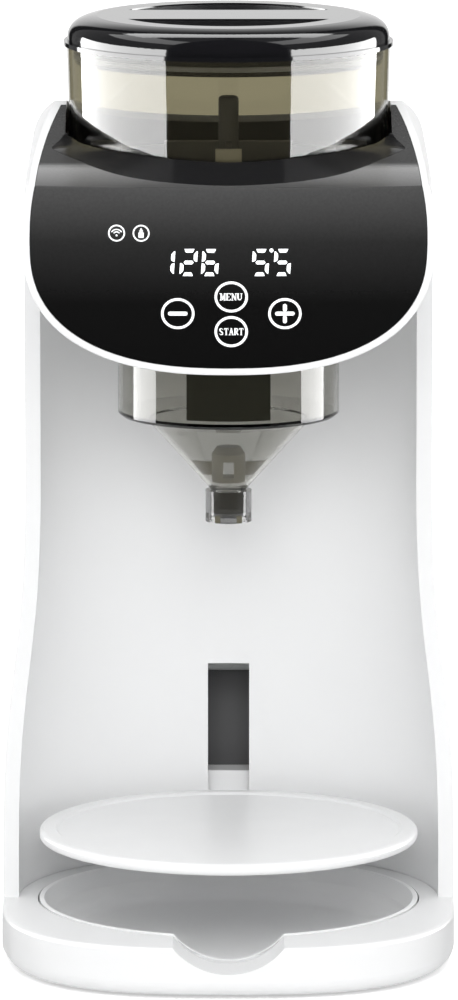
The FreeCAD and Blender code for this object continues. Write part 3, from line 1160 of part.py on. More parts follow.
# ------------------------------------------------------------------ water side
def make_dock():
    half = TANK_HALF_WIDTH + DOCK_SIDE
    front = COLUMN_DEPTH + DOCK_FRONT_GAP
    back = DOCK_FACE_Y
    wall = DOCK_WALL
    corner = TANK_CORNER_R + DOCK_BACK
    cup_z = DOCK_TOP - DOCK_CUP_DEPTH
    shell = rounded_block(half, front, back, 3.0, corner, BASE_TOP, DOCK_TOP)
    top_edges = [e for e in shell.Edges if e.BoundBox.ZMin > DOCK_TOP - 0.01]
    shell = shell.makeFillet(DOCK_ROUND, top_edges)
    shell = shell.cut(rounded_block(half - wall, front + wall, back - wall, 2.0, corner - wall,
                                    BASE_TOP - OVER, DOCK_TOP - wall))
    shell = shell.cut(cylinder(DOCK_CUP_R + SEAT_GAP, DOCK_TOP - wall - OVER, FAR, 0, VALVE_Y))
    shell = shell.cut(box(INLET_X - INLET_W / 2, INLET_X + INLET_W / 2, back - wall - OVER, FAR,
                          INLET_Z - INLET_H / 2, INLET_Z + INLET_H / 2))
    switch_x, switch_z = SWITCH_HALF
    shell = shell.cut(box(ROCKER_X - switch_x - INLET_GAP, ROCKER_X + switch_x + INLET_GAP,
                          back - wall - OVER, FAR, INLET_Z - switch_z - INLET_GAP,
                          INLET_Z + switch_z + INLET_GAP))
    shell = shell.cut(box(-8.0, 8.0, front - OVER, front + wall + OVER, 0, BASE_TOP + 10.0))
    save(shell, "tank_dock")

    # cup that takes the tank's spigot, hung from the dock's top by a flange
    cup = cylinder(DOCK_CUP_R, cup_z, DOCK_TOP, 0, VALVE_Y)
    flange_z = DOCK_TOP - wall
    cup = fuse([cup, cylinder(DOCK_FLANGE_R, flange_z - DOCK_FLANGE, flange_z, 0, VALVE_Y)])
    cup = cup.cut(cylinder(DOCK_CUP_BORE_R, cup_z + DOCK_CUP_FLOOR, FAR, 0, VALVE_Y))
    cup = cup.cut(cylinder(STEM_R, 0, FAR, 0, VALVE_Y))
    outlet = ring(HOSE_R, HOSE_BORE_R, cup_z - DOCK_OUTLET, cup_z, 0, VALVE_Y)
    # upright pin on a bridge, which pushes the tank valve open
    pin = cylinder(DOCK_PIN_R, cup_z, STEM_BOTTOM - 0.3, 0, VALVE_Y)
    bridge_x, bridge_y, bridge_z = BRIDGE
    bridge = box(-bridge_x / 2, bridge_x / 2, VALVE_Y - bridge_y / 2, VALVE_Y + bridge_y / 2,
                 cup_z, cup_z + bridge_z)
    save(fuse([cup, outlet, pin, bridge]), "dock_cup")

    seat = ring(DOCK_CUP_BORE_R - SEAT_GAP, VALVE_R + 0.6, cup_z + DOCK_CUP_FLOOR + SEAT_GAP,
                DOCK_TOP - 2.0, 0, VALVE_Y)
    save(seat, "dock_seal")


def make_tank():
    wall = TANK_WALL
    half = TANK_HALF_WIDTH
    outer = rounded_block(half, TANK_FRONT_Y, TANK_BACK_Y, TANK_FRONT_CORNER_R, TANK_CORNER_R,
                          TANK_BOTTOM, TANK_TOP)
    low = [e for e in outer.Edges if e.BoundBox.ZMax < TANK_BOTTOM + 0.01]
    outer = outer.makeFillet(TANK_EDGE_ROUND, low)
    inner = rounded_block(half - wall, TANK_FRONT_Y + wall, TANK_BACK_Y - wall,
                          TANK_FRONT_CORNER_R - wall, TANK_CORNER_R - wall, TANK_FLOOR, TANK_TOP + OVER)
    spigot = ring(VALVE_R, VALVE_R - VALVE_WALL, SPIGOT_BOTTOM, TANK_BOTTOM + 0.5, 0, VALVE_Y)
    bore = cylinder(VALVE_R - VALVE_WALL, 0, TANK_FLOOR + OVER, 0, VALVE_Y)
    tank = fuse([outer.cut(inner), spigot]).cut(bore)
    guide_r = FLOAT_R + FLOAT_GAP
    guide = ring(guide_r + FLOAT_GUIDE_WALL, guide_r, TANK_FLOOR - 0.5,
                 TANK_FLOOR + FLOAT_HEIGHT + FLOAT_RISE + 6.0, FLOAT_X, FLOAT_Y)
    guide = guide.cut(box(0, FAR, FLOAT_Y - FLOAT_WINDOW / 2, FLOAT_Y + FLOAT_WINDOW / 2,
                          TANK_FLOOR + 5.0, TANK_FLOOR + FLOAT_HEIGHT + FLOAT_RISE))
    # fixed rail along the front of the mouth, with an ear at each end for the lid's pins
    rail_low = TANK_TOP - 6.0
    bay_y = HINGE_Y - HINGE_R - 0.5
    rail = rounded_block(half, TANK_FRONT_Y, HINGE_Y + 4.0, TANK_FRONT_CORNER_R, 1.0, rail_low,
                         LID_TOP_Z - 0.4)
    bay = box(-HINGE_HALF, HINGE_HALF, bay_y, FAR, rail_low - OVER, FAR)
    mouth = box(wall - half, half - wall, bay_y, FAR, rail_low - OVER, TANK_TOP)
    over_pin = box(-half, half, HINGE_Y, FAR, HINGE_Z, FAR)
    over_pin = over_pin.cut(rod_x(HINGE_R + 0.2, -half, half, HINGE_Y, HINGE_Z))
    rail = rail.cut(bay).cut(mouth).cut(over_pin)
    seat = HINGE_HALF + PIN_SEAT
    rail = rail.cut(rod_x(PIN_R, -seat, seat, HINGE_Y, HINGE_Z))
    save(fuse([tank, guide, rail]), "water_tank")

    plug = ring(VALVE_R - VALVE_WALL - 0.05, 3.0, TANK_BOTTOM - 1.0, TANK_FLOOR - 1.2, 0, VALVE_Y)
    stem = cylinder(STEM_R, STEM_BOTTOM, TANK_FLOOR + 5.0, 0, VALVE_Y)
    disc_z = TANK_FLOOR + 0.05
    disc = cylinder(VALVE_R - 1.0, disc_z, disc_z + DISC_HEIGHT, 0, VALVE_Y)
    save(fuse([stem, disc]), "tank_valve")
    roof_z = TANK_FLOOR + CAGE_HEIGHT
    cage_r = VALVE_R + 1.0
    coil = ring(SPRING_R, SPRING_R - SPRING_WALL, disc_z + DISC_HEIGHT, roof_z, 0, VALVE_Y)
    cage = ring(cage_r, cage_r - CAGE_WALL, TANK_FLOOR, roof_z + CAGE_ROOF, 0, VALVE_Y)
    cage = cage.cut(box(-FAR, FAR, VALVE_Y - CAGE_SLOT / 2, VALVE_Y + CAGE_SLOT / 2, TANK_FLOOR + 1.0,
                        roof_z - 0.4))
    roof = ring(cage_r, STEM_R + 0.6, roof_z, roof_z + CAGE_ROOF, 0, VALVE_Y)
    save(coil, "valve_spring")
    save(Part.makeCompound([fuse([cage, roof]), plug]), "valve_cage")

    save(cylinder(FLOAT_R, TANK_FLOOR + 0.2, TANK_FLOOR + FLOAT_HEIGHT, FLOAT_X, FLOAT_Y), "level_float")


def make_tank_lid():
    edge = TANK_LID_EDGE
    wide = TANK_HALF_WIDTH
    skin_z = LID_TOP_Z - LID_SKIN
    z0 = TANK_TOP + TANK_LID_GAP
    cap = rounded_block(wide + edge, HINGE_Y + 4.4, TANK_BACK_Y + edge, 1.0, TANK_CORNER_R + edge,
                        z0, LID_TOP_Z)
    top_edges = [e for e in cap.Edges if e.BoundBox.ZMin > LID_TOP_Z - 0.01]
    rim = [e for e in top_edges if e.BoundBox.YMax > AXIS_Y + HINGE_Y + 6.0]
    cap = cap.makeFillet(TANK_LID_ROUND, rim)
    room = rounded_block(wide - 2.0, HINGE_Y + 7.0, TANK_BACK_Y - 2.0, 1.0, TANK_CORNER_R - 2.0,
                         z0 - OVER, skin_z)
    near = TANK_WALL + 0.8
    inside = rounded_block(wide - near, HINGE_Y + 6.0, TANK_BACK_Y - near, 2.0, TANK_CORNER_R - near,
                           TANK_TOP - TANK_LID_SKIRT, skin_z)
    core = TANK_WALL + 2.6
    inside = inside.cut(rounded_block(wide - core, HINGE_Y + 8.0, TANK_BACK_Y - core, 1.0,
                                      TANK_CORNER_R - core, TANK_TOP - TANK_LID_SKIRT - OVER, LID_TOP_Z))
    half = HINGE_HALF - 0.4
    tongue = box(-half, half, HINGE_Y, HINGE_Y + 8.0, HINGE_Z - 1.2, HINGE_Z + HINGE_R)
    barrel = rod_x(HINGE_R, -half, half, HINGE_Y, HINGE_Z)
    lid = fuse([cap.cut(room), inside, tongue, barrel])
    save(lid.cut(rod_x(PIN_R + RUNNING_GAP, -FAR, FAR, HINGE_Y, HINGE_Z)), "tank_lid")
    pins = []
    for side in (-1, 1):
        near, away = sorted((side * (HINGE_HALF - PIN_REACH), side * (HINGE_HALF + PIN_SEAT)))
        pins.append(rod_x(PIN_R, near, away, HINGE_Y, HINGE_Z))
    save(Part.makeCompound(pins), "lid_pins")


def make_water_works():
    head_z = PUMP_TOP - PUMP_HEAD
    can = cylinder(PUMP_R, PUMP_BOTTOM, head_z, PUMP_X, PUMP_Y)
    head = cylinder(PUMP_R + PUMP_HEAD_EXTRA, head_z, PUMP_TOP, PUMP_X, PUMP_Y)
    foot = box(PUMP_X - PUMP_FOOT, PUMP_X + PUMP_FOOT, PUMP_Y, FRAME_Y, PUMP_BOTTOM + 6.0, head_z - 4.0)
    save(fuse([can, head, foot]), "water_pump")

    half_x, half_y = HEATER_HALF
    low_z = HEATER_BOTTOM - HEATER_END
    high_z = HEATER_TOP + HEATER_END
    block = box(HEATER_X - half_x, HEATER_X + half_x, HEATER_Y - half_y, HEATER_Y + half_y,
                HEATER_BOTTOM, HEATER_TOP)
    ends = [cylinder(HEATER_END_R, low_z, HEATER_BOTTOM, HEATER_X, HEATER_Y),
            cylinder(HEATER_END_R, HEATER_TOP, high_z, HEATER_X, HEATER_Y)]
    feet = [box(HEATER_X - HEATER_FOOT, HEATER_X + HEATER_FOOT, HEATER_Y + half_y, FRAME_Y, z,
                z + HEATER_FOOT_HEIGHT)
            for z in (HEATER_BOTTOM + HEATER_FOOT, HEATER_TOP - HEATER_FOOT - HEATER_FOOT_HEIGHT)]
    save(fuse([block] + ends + feet), "water_heater")
    sensor_z = HEATER_TOP - SENSOR_DROP
    save(cylinder(SENSOR_R, sensor_z, sensor_z + SENSOR_LENGTH, HEATER_X - half_x - SENSOR_R, HEATER_Y),
         "temperature_sensor")

    dock_z = DOCK_TOP - DOCK_CUP_DEPTH - DOCK_OUTLET
    bend_z = PUMP_TOP + 14.0
    suction = [(0, VALVE_Y, dock_z), (0, VALVE_Y, HOSE_FLOOR_Z), (PUMP_X, PUMP_Y, HOSE_FLOOR_Z),
               (PUMP_X, PUMP_Y, PUMP_BOTTOM)]
    delivery = [(PUMP_X, PUMP_Y, PUMP_TOP), (PUMP_X, PUMP_Y, bend_z), (HEATER_X, HEATER_Y, bend_z),
                (HEATER_X, HEATER_Y, low_z)]
    roof_z = SOCKET_TOP + SOCKET_ROOF
    spout_z = roof_z + HOSE_R + 4.0
    brew = [(HEATER_X, HEATER_Y, high_z), (HEATER_X, HEATER_Y, spout_z), (SPOUT_X, BREW_BEND_Y, spout_z),
            (SPOUT_X, SPOUT_Y + 1.0, spout_z)]
    save(hose(suction, HOSE_R), "suction_hose")
    save(hose(delivery, HOSE_R), "delivery_hose")
    save(hose(brew, HOSE_R), "brew_hose")

    elbow = box(SPOUT_X - SPOUT_HALF, SPOUT_X + SPOUT_HALF, SPOUT_Y - SPOUT_HALF, SPOUT_Y + 1.0,
                roof_z, spout_z + SPOUT_HALF)
    stem = cylinder(SPOUT_STEM_R, SKIRT_TOP - 8.0, roof_z, SPOUT_X, SPOUT_Y)
    save(fuse([elbow, stem]), "water_spout")


# ------------------------------------------------------------------ frame, boards and mains parts
def make_boards():
    notch_x, notch_z = FRAME_NOTCH
    behind_y = FRAME_Y + FRAME_THICKNESS
    frame = box(-FRAME_HALF, FRAME_HALF, FRAME_Y, behind_y, BASE_TOP, FRAME_TOP)
    frame = frame.cut(box(-notch_x, notch_x, 0, FAR, 0, BASE_TOP + notch_z))
    low = BOARD_BOTTOM
    left, right = BOARD_X
    stud_z = (low + BOARD_MARGIN, low + BOARD_HEIGHT - BOARD_MARGIN)
    studs = [rod_y(STUD_R, FRAME_Y - STUD_LENGTH, FRAME_Y, x, z)
             for x in (left + 4.0, right - 4.0) for z in stud_z]
    studs += [rod_y(COVER_STUD_R, behind_y, COLUMN_DEPTH - BACK_COVER_WALL, x, z) for x, z in COVER_SCREWS]
    frame = fuse([frame] + studs)
    for x, z in COVER_SCREWS:
        frame = frame.cut(rod_y(SCREW_R, 0, FAR, x, z))
    save(frame, "inner_frame")

    back = FRAME_Y - STUD_LENGTH
    face = back - BOARD_THICKNESS
    save(box(left, right, face, back, low, low + BOARD_HEIGHT), "main_board")
    parts = [box(x0, x1, face - depth, face, low + foot, low + foot + height)
             for x0, x1, foot, height, depth in (RELAY, COIL, CHIP, PLUGS)]
    x, rise, radius, length = CAPACITOR
    parts.append(rod_y(radius, face - length, face, x, low + rise))
    save(Part.makeCompound(parts), "board_components")

    half, foot, top = DISPLAY_BOARD
    save(box(-half, half, BOARD_FRONT_Y, BOARD_FRONT_Y + BOARD_THICKNESS, HEAD_WIDE_Z + foot,
             HEAD_WIDE_Z + top), "display_board")
    x0, x1, foot, top = DIGITS
    save(box(x0, x1, BOARD_FRONT_Y - DIGITS_DEPTH, BOARD_FRONT_Y, HEAD_WIDE_Z + foot, HEAD_WIDE_Z + top),
         "digit_display")
    springs = []
    for x, z in KEY_PLACES:
        coil = rod_y(KEY_SPRING_R, BOARD_FRONT_Y - DIGITS_DEPTH, BOARD_FRONT_Y, x, z)
        springs.append(coil.cut(rod_y(KEY_SPRING_R - KEY_SPRING_WALL, -FAR, FAR, x, z)))
    save(Part.makeCompound(springs), "touch_springs")


def make_mains_parts():
    face = DOCK_FACE_Y
    half_x = INLET_W / 2 - INLET_GAP
    half_z = INLET_H / 2 - INLET_GAP
    body = box(INLET_X - half_x, INLET_X + half_x, face - INLET_DEPTH, face, INLET_Z - half_z, INLET_Z + half_z)
    wide = half_x + INLET_GAP + FLANGE_REACH
    tall = half_z + INLET_GAP + FLANGE_REACH
    flange = box(INLET_X - wide, INLET_X + wide, face, face + FLANGE_THICKNESS, INLET_Z - tall, INLET_Z + tall)
    end = INLET_SEAT_HALF
    floor_y = face - INLET_SEAT
    rounds = [rod_y(INLET_SEAT_R, floor_y, FAR, INLET_X + x, INLET_Z) for x in (-end, end)]
    middle = box(INLET_X - end, INLET_X + end, floor_y, FAR, INLET_Z - INLET_SEAT_R, INLET_Z + INLET_SEAT_R)
    pins = [rod_y(INLET_PIN_R, floor_y - OVER, floor_y - OVER + INLET_PIN_LENGTH, INLET_X + x, INLET_Z)
            for x in (-INLET_PIN_HALF, INLET_PIN_HALF)]
    save(fuse([fuse([body, flange]).cut(fuse(rounds + [middle]))] + pins), "power_inlet")

    def plate(halves, y0, y1):
        across, up = halves
        return box(ROCKER_X - across, ROCKER_X + across, y0, y1, INLET_Z - up, INLET_Z + up)

    bezel = plate(SWITCH_BEZEL, face, face + FLANGE_THICKNESS)
    case = plate(SWITCH_HALF, face - SWITCH_DEPTH, face)
    holder = fuse([bezel, case]).cut(plate(SWITCH_BAY, face - SWITCH_BAY_DEPTH, face + OVER))
    axle_seat = AXLE_HALF + 2 * INLET_GAP
    holder = holder.cut(cylinder(AXLE_R + RUNNING_GAP, INLET_Z - axle_seat, INLET_Z + axle_seat,
                                 ROCKER_X, ROCKER_PIVOT_Y))
    save(holder, "switch_case")
    across, up = PADDLE_HALF
    edge = face - PADDLE_SINK
    outline = [(ROCKER_X - across, edge), (ROCKER_X, edge - PADDLE_CROWN), (ROCKER_X + across, edge),
               (ROCKER_X + across - 1.4, edge - PADDLE_DEPTH), (ROCKER_X - across + 1.4, edge - PADDLE_DEPTH)]
    paddle = upright_prism(outline, INLET_Z - up, INLET_Z + up)
    axle = cylinder(AXLE_R, INLET_Z - AXLE_HALF, INLET_Z + AXLE_HALF, ROCKER_X, ROCKER_PIVOT_Y)
    rocker = fuse([paddle, axle])
    rocker.rotate(point(ROCKER_X, ROCKER_PIVOT_Y, 0), Vector(0, 0, 1), -ROCKER_TILT)
    save(rocker, "rocker_switch")


# ------------------------------------------------------------------ all pieces
base_screws = make_base()
make_drip_tray()
cover_screws = make_housing()
save(Part.makeCompound(base_screws + cover_screws), "housing_screws")
make_fascia()
make_collar()
make_well()
make_funnel_socket()
make_drive()
make_container()
make_dosing_wheel()
make_lid()
make_funnel()
make_bottle_plate()
make_dock()
make_tank()
make_tank_lid()
make_water_works()
make_boards()
make_mains_parts()
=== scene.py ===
# %% [markdown]
# # A countertop baby formula maker, dressed in Blender
#
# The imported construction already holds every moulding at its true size. This file gives each
# moulding its finish, prints the control panel, adds the fine pieces that only the eye needs, and
# sets up a small studio round the machine. Everything is in metres, +Z up, and the front of the
# machine looks towards -Y.

# %% load the frame
import json
import math

import bpy
import numpy as np
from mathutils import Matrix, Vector


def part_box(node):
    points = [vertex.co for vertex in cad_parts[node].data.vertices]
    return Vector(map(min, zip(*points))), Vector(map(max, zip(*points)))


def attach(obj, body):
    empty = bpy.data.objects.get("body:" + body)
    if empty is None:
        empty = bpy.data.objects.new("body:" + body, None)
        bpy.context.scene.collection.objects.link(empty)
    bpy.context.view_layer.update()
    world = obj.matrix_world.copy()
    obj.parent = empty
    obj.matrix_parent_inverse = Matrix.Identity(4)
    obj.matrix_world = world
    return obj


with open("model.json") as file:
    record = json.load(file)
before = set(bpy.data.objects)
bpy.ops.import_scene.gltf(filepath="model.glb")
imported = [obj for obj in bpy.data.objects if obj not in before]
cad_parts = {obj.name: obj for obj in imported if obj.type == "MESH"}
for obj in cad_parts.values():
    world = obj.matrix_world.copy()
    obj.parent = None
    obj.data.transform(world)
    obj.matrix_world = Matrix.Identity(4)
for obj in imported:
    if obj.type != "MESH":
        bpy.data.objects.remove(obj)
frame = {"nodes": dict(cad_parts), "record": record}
nodes = frame["nodes"]
scene = bpy.context.scene
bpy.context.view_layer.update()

# %% [markdown]
# ## The upright axis
#
# The container, the funnel and the bottle plate are turned parts on one upright axis. Every new
# piece is placed from that axis, so it is read once from the middle of the bottle plate.

# %% common values
MM = 0.001
plate_low, plate_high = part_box("bottle_plate")
AXIS_Y = (plate_low.y + plate_high.y) / 2
print("axis at y =", round(AXIS_Y, 4))

# %% [markdown]
# ## Camera
#
# A household machine is shown from far away with a long lens, so that upright walls stay upright
# and it doesn't bulge towards the viewer. The camera looks down by about nine degrees. A small shift
# slides the view on the sensor without tilting the camera any further.

# %% camera
CAMERA_DISTANCE = 3.6
CAMERA_HEIGHT = 0.787
CAMERA_ASIDE = 0.0002
LOOK_DOWN = math.radians(9.183)
LENS = 312.98
SENSOR = 36.0
SHIFT_DOWN = -0.03026
CLIP_END = 50.0

camera_data = bpy.data.cameras.new("camera")
camera_data.lens = LENS
camera_data.sensor_width = SENSOR
camera_data.shift_y = SHIFT_DOWN
camera_data.clip_end = CLIP_END
camera = bpy.data.objects.new("camera", camera_data)
camera.location = (CAMERA_ASIDE, AXIS_Y - CAMERA_DISTANCE, CAMERA_HEIGHT)
camera.rotation_euler = (math.pi / 2 - LOOK_DOWN, 0, 0)
scene.collection.objects.link(camera)
scene.camera = camera
scene.view_settings.view_transform = "Standard"
print("camera at", [round(c, 3) for c in camera.location])

# %% [markdown]
# ## Node helpers
#
# Materials and the sky are built from nodes. A few small helpers keep that readable: one adds a
# node, one feeds a socket, one adds a Math node fed by numbers or by other sockets, and two shape a
# value into a soft step or a soft-edged window.

# %% node helpers
def add_node(tree, kind, **inputs):
    """Adds a node and sets its input sockets by name."""
    node = tree.nodes.new(kind)
    for name, value in inputs.items():
        set_input(tree, node.inputs[name.replace("_", " ")], value)
    return node


def set_input(tree, socket, value):
    """A value is either another node's output, which is linked, or a plain number or colour."""
    if isinstance(value, bpy.types.NodeSocket):
        tree.links.new(value, socket)
    else:
        socket.default_value = value


def calc(tree, operation, first, second=0.0):
    """Math node: operation of first and second."""
    node = tree.nodes.new("ShaderNodeMath")
    node.operation = operation
    set_input(tree, node.inputs[0], first)
    set_input(tree, node.inputs[1], second)
    return node.outputs[0]


def ramp_up(tree, value, low, high):
    """Rises smoothly from 0 at low to 1 at high."""
    node = tree.nodes.new("ShaderNodeMapRange")
    node.interpolation_type = "SMOOTHSTEP"
    set_input(tree, node.inputs["Value"], value)
    node.inputs["From Min"].default_value = low
    node.inputs["From Max"].default_value = high
    return node.outputs["Result"]


def window(tree, value, low, high, soft):
    """1 between low and high, with soft shoulders, and 0 outside."""
    rise = ramp_up(tree, value, low - soft, low + soft)
    fall = ramp_up(tree, value, high - soft, high + soft)
    return calc(tree, "SUBTRACT", rise, fall)


print("node helpers", [helper.__name__ for helper in (add_node, set_input, calc, ramp_up, window)])

# %% [markdown]
# ## Studio sky
#
# Glossy black plastic and clear acrylic show nothing but their surroundings, so the surroundings are
# laid out like a studio: dark behind the camera, a dim grey wall at the sides that is bright at its
# foot, and a white sheet straight behind the machine that fades out upwards. The sky is that studio
# for reflections only. Through clear plastic it is a dim olive wall, which gives acrylic its body.
# Seen directly it is plain white, and as light it is an even fill. Bearings are angles round the
# machine, from 0 straight in front of it to 180 degrees straight behind; heights are sines of the
# angle above the horizon.

# %% sky
WHITE = (1.0, 1.0, 1.0, 1.0)
OLIVE = (1.0, 0.93, 0.66, 1.0)
FILL = 0.55
THROUGH = 0.38
DARK_ROOM = 0.02
WALL_LIGHT, WALL_SOFT = 0.22, 0.03
WALL_FROM, WALL_TO = math.radians(44), math.radians(150)
LOW_WALL_FROM, LOW_WALL_SOFT = WALL_FROM + 0.3, 0.3
LOW_WALL_FULL, LOW_WALL_GONE = -0.45, -0.2
SHEET_LIGHT, SHEET_SOFT = 1.05, 0.08
SHEET_FROM = math.radians(160)
SHEET_FULL, SHEET_GONE = 0.2, 0.85

world = bpy.data.worlds.new("studio")
world.use_nodes = True
scene.world = world
sky = world.node_tree
sky.nodes.clear()

sky_place = add_node(sky, "ShaderNodeTexCoord").outputs["Generated"]
direction = add_node(sky, "ShaderNodeSeparateXYZ", Vector=sky_place)
aside = calc(sky, "ABSOLUTE", direction.outputs["X"])
ahead = calc(sky, "MULTIPLY", direction.outputs["Y"], -1.0)
bearing = calc(sky, "ARCTAN2", aside, ahead)
height = direction.outputs["Z"]
wall = calc(sky, "MULTIPLY", window(sky, bearing, WALL_FROM, WALL_TO, WALL_SOFT), WALL_LIGHT)
low_wall = calc(sky, "MULTIPLY", window(sky, bearing, LOW_WALL_FROM, WALL_TO, LOW_WALL_SOFT),
                calc(sky, "SUBTRACT", 1.0, ramp_up(sky, height, LOW_WALL_FULL, LOW_WALL_GONE)))
sheet = calc(sky, "MULTIPLY", ramp_up(sky, bearing, SHEET_FROM, SHEET_FROM + SHEET_SOFT),
             calc(sky, "SUBTRACT", 1.0, ramp_up(sky, height, SHEET_FULL, SHEET_GONE)))
studio = calc(sky, "ADD", calc(sky, "ADD", wall, low_wall), calc(sky, "MULTIPLY", sheet, SHEET_LIGHT))
studio = calc(sky, "ADD", studio, DARK_ROOM)

rays = add_node(sky, "ShaderNodeLightPath")
fill_light = add_node(sky, "ShaderNodeBackground", Strength=FILL)
reflected = add_node(sky, "ShaderNodeBackground", Strength=studio)
through = add_node(sky, "ShaderNodeBackground", Strength=THROUGH)
white = add_node(sky, "ShaderNodeBackground", Strength=1.0)
for light in (fill_light, reflected, white):
    light.inputs["Color"].default_value = WHITE
through.inputs["Color"].default_value = OLIVE


def choose(tree, factor, first, second):
    """Second shader where factor is 1, first where it is 0."""
    node = tree.nodes.new("ShaderNodeMixShader")
    tree.links.new(factor, node.inputs[0])
    tree.links.new(first, node.inputs[1])
    tree.links.new(second, node.inputs[2])
    return node.outputs[0]


by_gloss = choose(sky, rays.outputs["Is Glossy Ray"], fill_light.outputs[0], reflected.outputs[0])
by_clear = choose(sky, rays.outputs["Is Transmission Ray"], by_gloss, through.outputs[0])
by_sight = choose(sky, rays.outputs["Is Camera Ray"], by_clear, white.outputs[0])
sky.links.new(by_sight, add_node(sky, "ShaderNodeOutputWorld").inputs["Surface"])
print("sky nodes", len(sky.nodes))

# %% [markdown]
# ## Reflector cards
#
# The white bands on the powder container are two tall lit cards, curved round the machine about a
# metre away. A lower pair, set further round, does the same for the funnel under the head. A dim
# pair stands higher up, for faces that lean back, and a card overhead, behind the machine, draws the
# thin bright crescents along the lid's shoulder. Only reflections see the cards: they light nothing
# and cast no shadow.

# %% reflector cards
CARD_R = 1.0
CARD_FOOT, CARD_HEAD = 0.17, 0.56
CARD_FROM, CARD_TO = math.radians(44), math.radians(128)
CARD_LIGHT = 14.0
LOW_FOOT = 0.004
LOW_FROM, LOW_TO = math.radians(80), math.radians(134)
LOW_LIGHT = 11.0
DIM_FOOT, DIM_HEAD = 1.2, 2.3
DIM_LIGHT = 2.5
CARD_STEPS = 33
TOP_Z, TOP_HALF = 1.45, 0.7
TOP_NEAR, TOP_FAR = 0.2, 0.7
TOP_LIGHT = 6.0


def glowing(name, strength):
    """Plain white light of that strength."""
    material = bpy.data.materials.new(name)
    material.use_nodes = True
    tree = material.node_tree
    tree.nodes.clear()
    glow = add_node(tree, "ShaderNodeEmission", Strength=strength)
    tree.links.new(glow.outputs[0], add_node(tree, "ShaderNodeOutputMaterial").inputs["Surface"])
    return material


def card(name, rows, material):
    """Sheet through rows of points, all rows of the same length, seen by reflections only."""
    rows = np.asarray(rows, float)
    count, across = rows.shape[:2]
    mesh = bpy.data.meshes.new(name)
    faces = [(i * across + j, i * across + j + 1, (i + 1) * across + j + 1, (i + 1) * across + j)
             for i in range(count - 1) for j in range(across - 1)]
    mesh.from_pydata(rows.reshape(-1, 3).tolist(), [], faces)
    mesh.materials.append(material)
    made = bpy.data.objects.new(name, mesh)
    made.visible_camera = made.visible_diffuse = made.visible_transmission = False
    made.visible_shadow = made.visible_volume_scatter = False
    scene.collection.objects.link(made)


def side_cards(name, first, last, foot, head, light):
    """Pair of upright cards, left and right, curved round the machine between two bearings."""
    turn = np.linspace(first, last, CARD_STEPS)
    glow = glowing(name, light)
    for side in (-1, 1):
        arc = np.stack([side * CARD_R * np.sin(turn), AXIS_Y - CARD_R * np.cos(turn)], 1)
        card(f"{name}_{side}", [[(x, y, z) for x, y in arc] for z in (foot, head)], glow)
    print(name, "reach from", foot, "to", head, "m")


side_cards("main_cards", CARD_FROM, CARD_TO, CARD_FOOT, CARD_HEAD, CARD_LIGHT)
side_cards("low_cards", LOW_FROM, LOW_TO, LOW_FOOT, CARD_FOOT, LOW_LIGHT)
side_cards("dim_cards", CARD_FROM, CARD_TO, DIM_FOOT, DIM_HEAD, DIM_LIGHT)
card("card_top", [[(x, AXIS_Y + y, TOP_Z) for x in (-TOP_HALF, TOP_HALF)] for y in (TOP_NEAR, TOP_FAR)],
     glowing("top_glow", TOP_LIGHT))

# %% [markdown]
# ## Lamps
#
# A large soft front light fills the niche, where the wall faces the viewer and leaves its edges dim.
# A second one, higher up, brings out the plate and the tray, one stands above and a weaker one
# behind. They are hidden from reflections, because the sky and the cards already hold everything
# that gloss should mirror. Each lamp has its place and side in metres and its power in watts.

# %% lamps
def soft_lamp(name, place, aim, size, power):
    """Square area lamp at place, turned so that its light goes towards aim."""
    data = bpy.data.lights.new(name, "AREA")
    data.shape = "SQUARE"
    data.size = size
    data.energy = power
    lamp = bpy.data.objects.new(name, data)
    lamp.location = place
    lamp.rotation_euler = (Vector(aim) - Vector(place)).to_track_quat("-Z", "Y").to_euler()
    lamp.visible_glossy = False
    lamp.visible_transmission = False
    lamp.visible_camera = False
    scene.collection.objects.link(lamp)


MACHINE_MIDDLE = (0.0, AXIS_Y, 0.18)
LAMPS = {
    "front_lamp": ((0.0, -4.0, 1.7), 1.4, 34.0),
    "high_lamp": ((0.0, -2.2, 2.1), 2.2, 34.0),
    "top_lamp": ((0.0, -0.6, 3.0), 2.0, 34.0),
    "back_lamp": ((0.0, 3.4, 1.6), 2.0, 26.0),
}
for name, (place, size, power) in LAMPS.items():
    soft_lamp(name, place, MACHINE_MIDDLE, size, power)
print("lamps", len(LAMPS))

# %% [markdown]
# ## Floor
#
# The floor is a pale sheet that should look pure white and still show a soft contact shadow. Its
# paint is an ordinary matt white. For the camera it also glows a little, which lifts the lit part to
# white while the shaded part under the base stays grey. Through clear plastic it is as dim as the wall.

# %% floor
FLOOR_HALF = 6.0
FLOOR_GLOW = 0.47
FLOOR_COLOUR = (0.9, 0.9, 0.9, 1.0)

floor_paint = bpy.data.materials.new("floor_paint")
floor_paint.use_nodes = True
floor_tree = floor_paint.node_tree
floor_tree.nodes.clear()
matt = add_node(floor_tree, "ShaderNodeBsdfDiffuse")
matt.inputs["Color"].default_value = FLOOR_COLOUR
floor_rays = add_node(floor_tree, "ShaderNodeLightPath")
glow = add_node(floor_tree, "ShaderNodeEmission",
                Strength=calc(floor_tree, "MULTIPLY", floor_rays.outputs["Is Camera Ray"], FLOOR_GLOW))
both = floor_tree.nodes.new("ShaderNodeAddShader")
floor_tree.links.new(matt.outputs[0], both.inputs[0])
floor_tree.links.new(glow.outputs[0], both.inputs[1])
dim = add_node(floor_tree, "ShaderNodeEmission", Color=OLIVE, Strength=THROUGH)
floor_look = choose(floor_tree, floor_rays.outputs["Is Transmission Ray"], both.outputs[0], dim.outputs[0])
floor_tree.links.new(floor_look, add_node(floor_tree, "ShaderNodeOutputMaterial").inputs["Surface"])

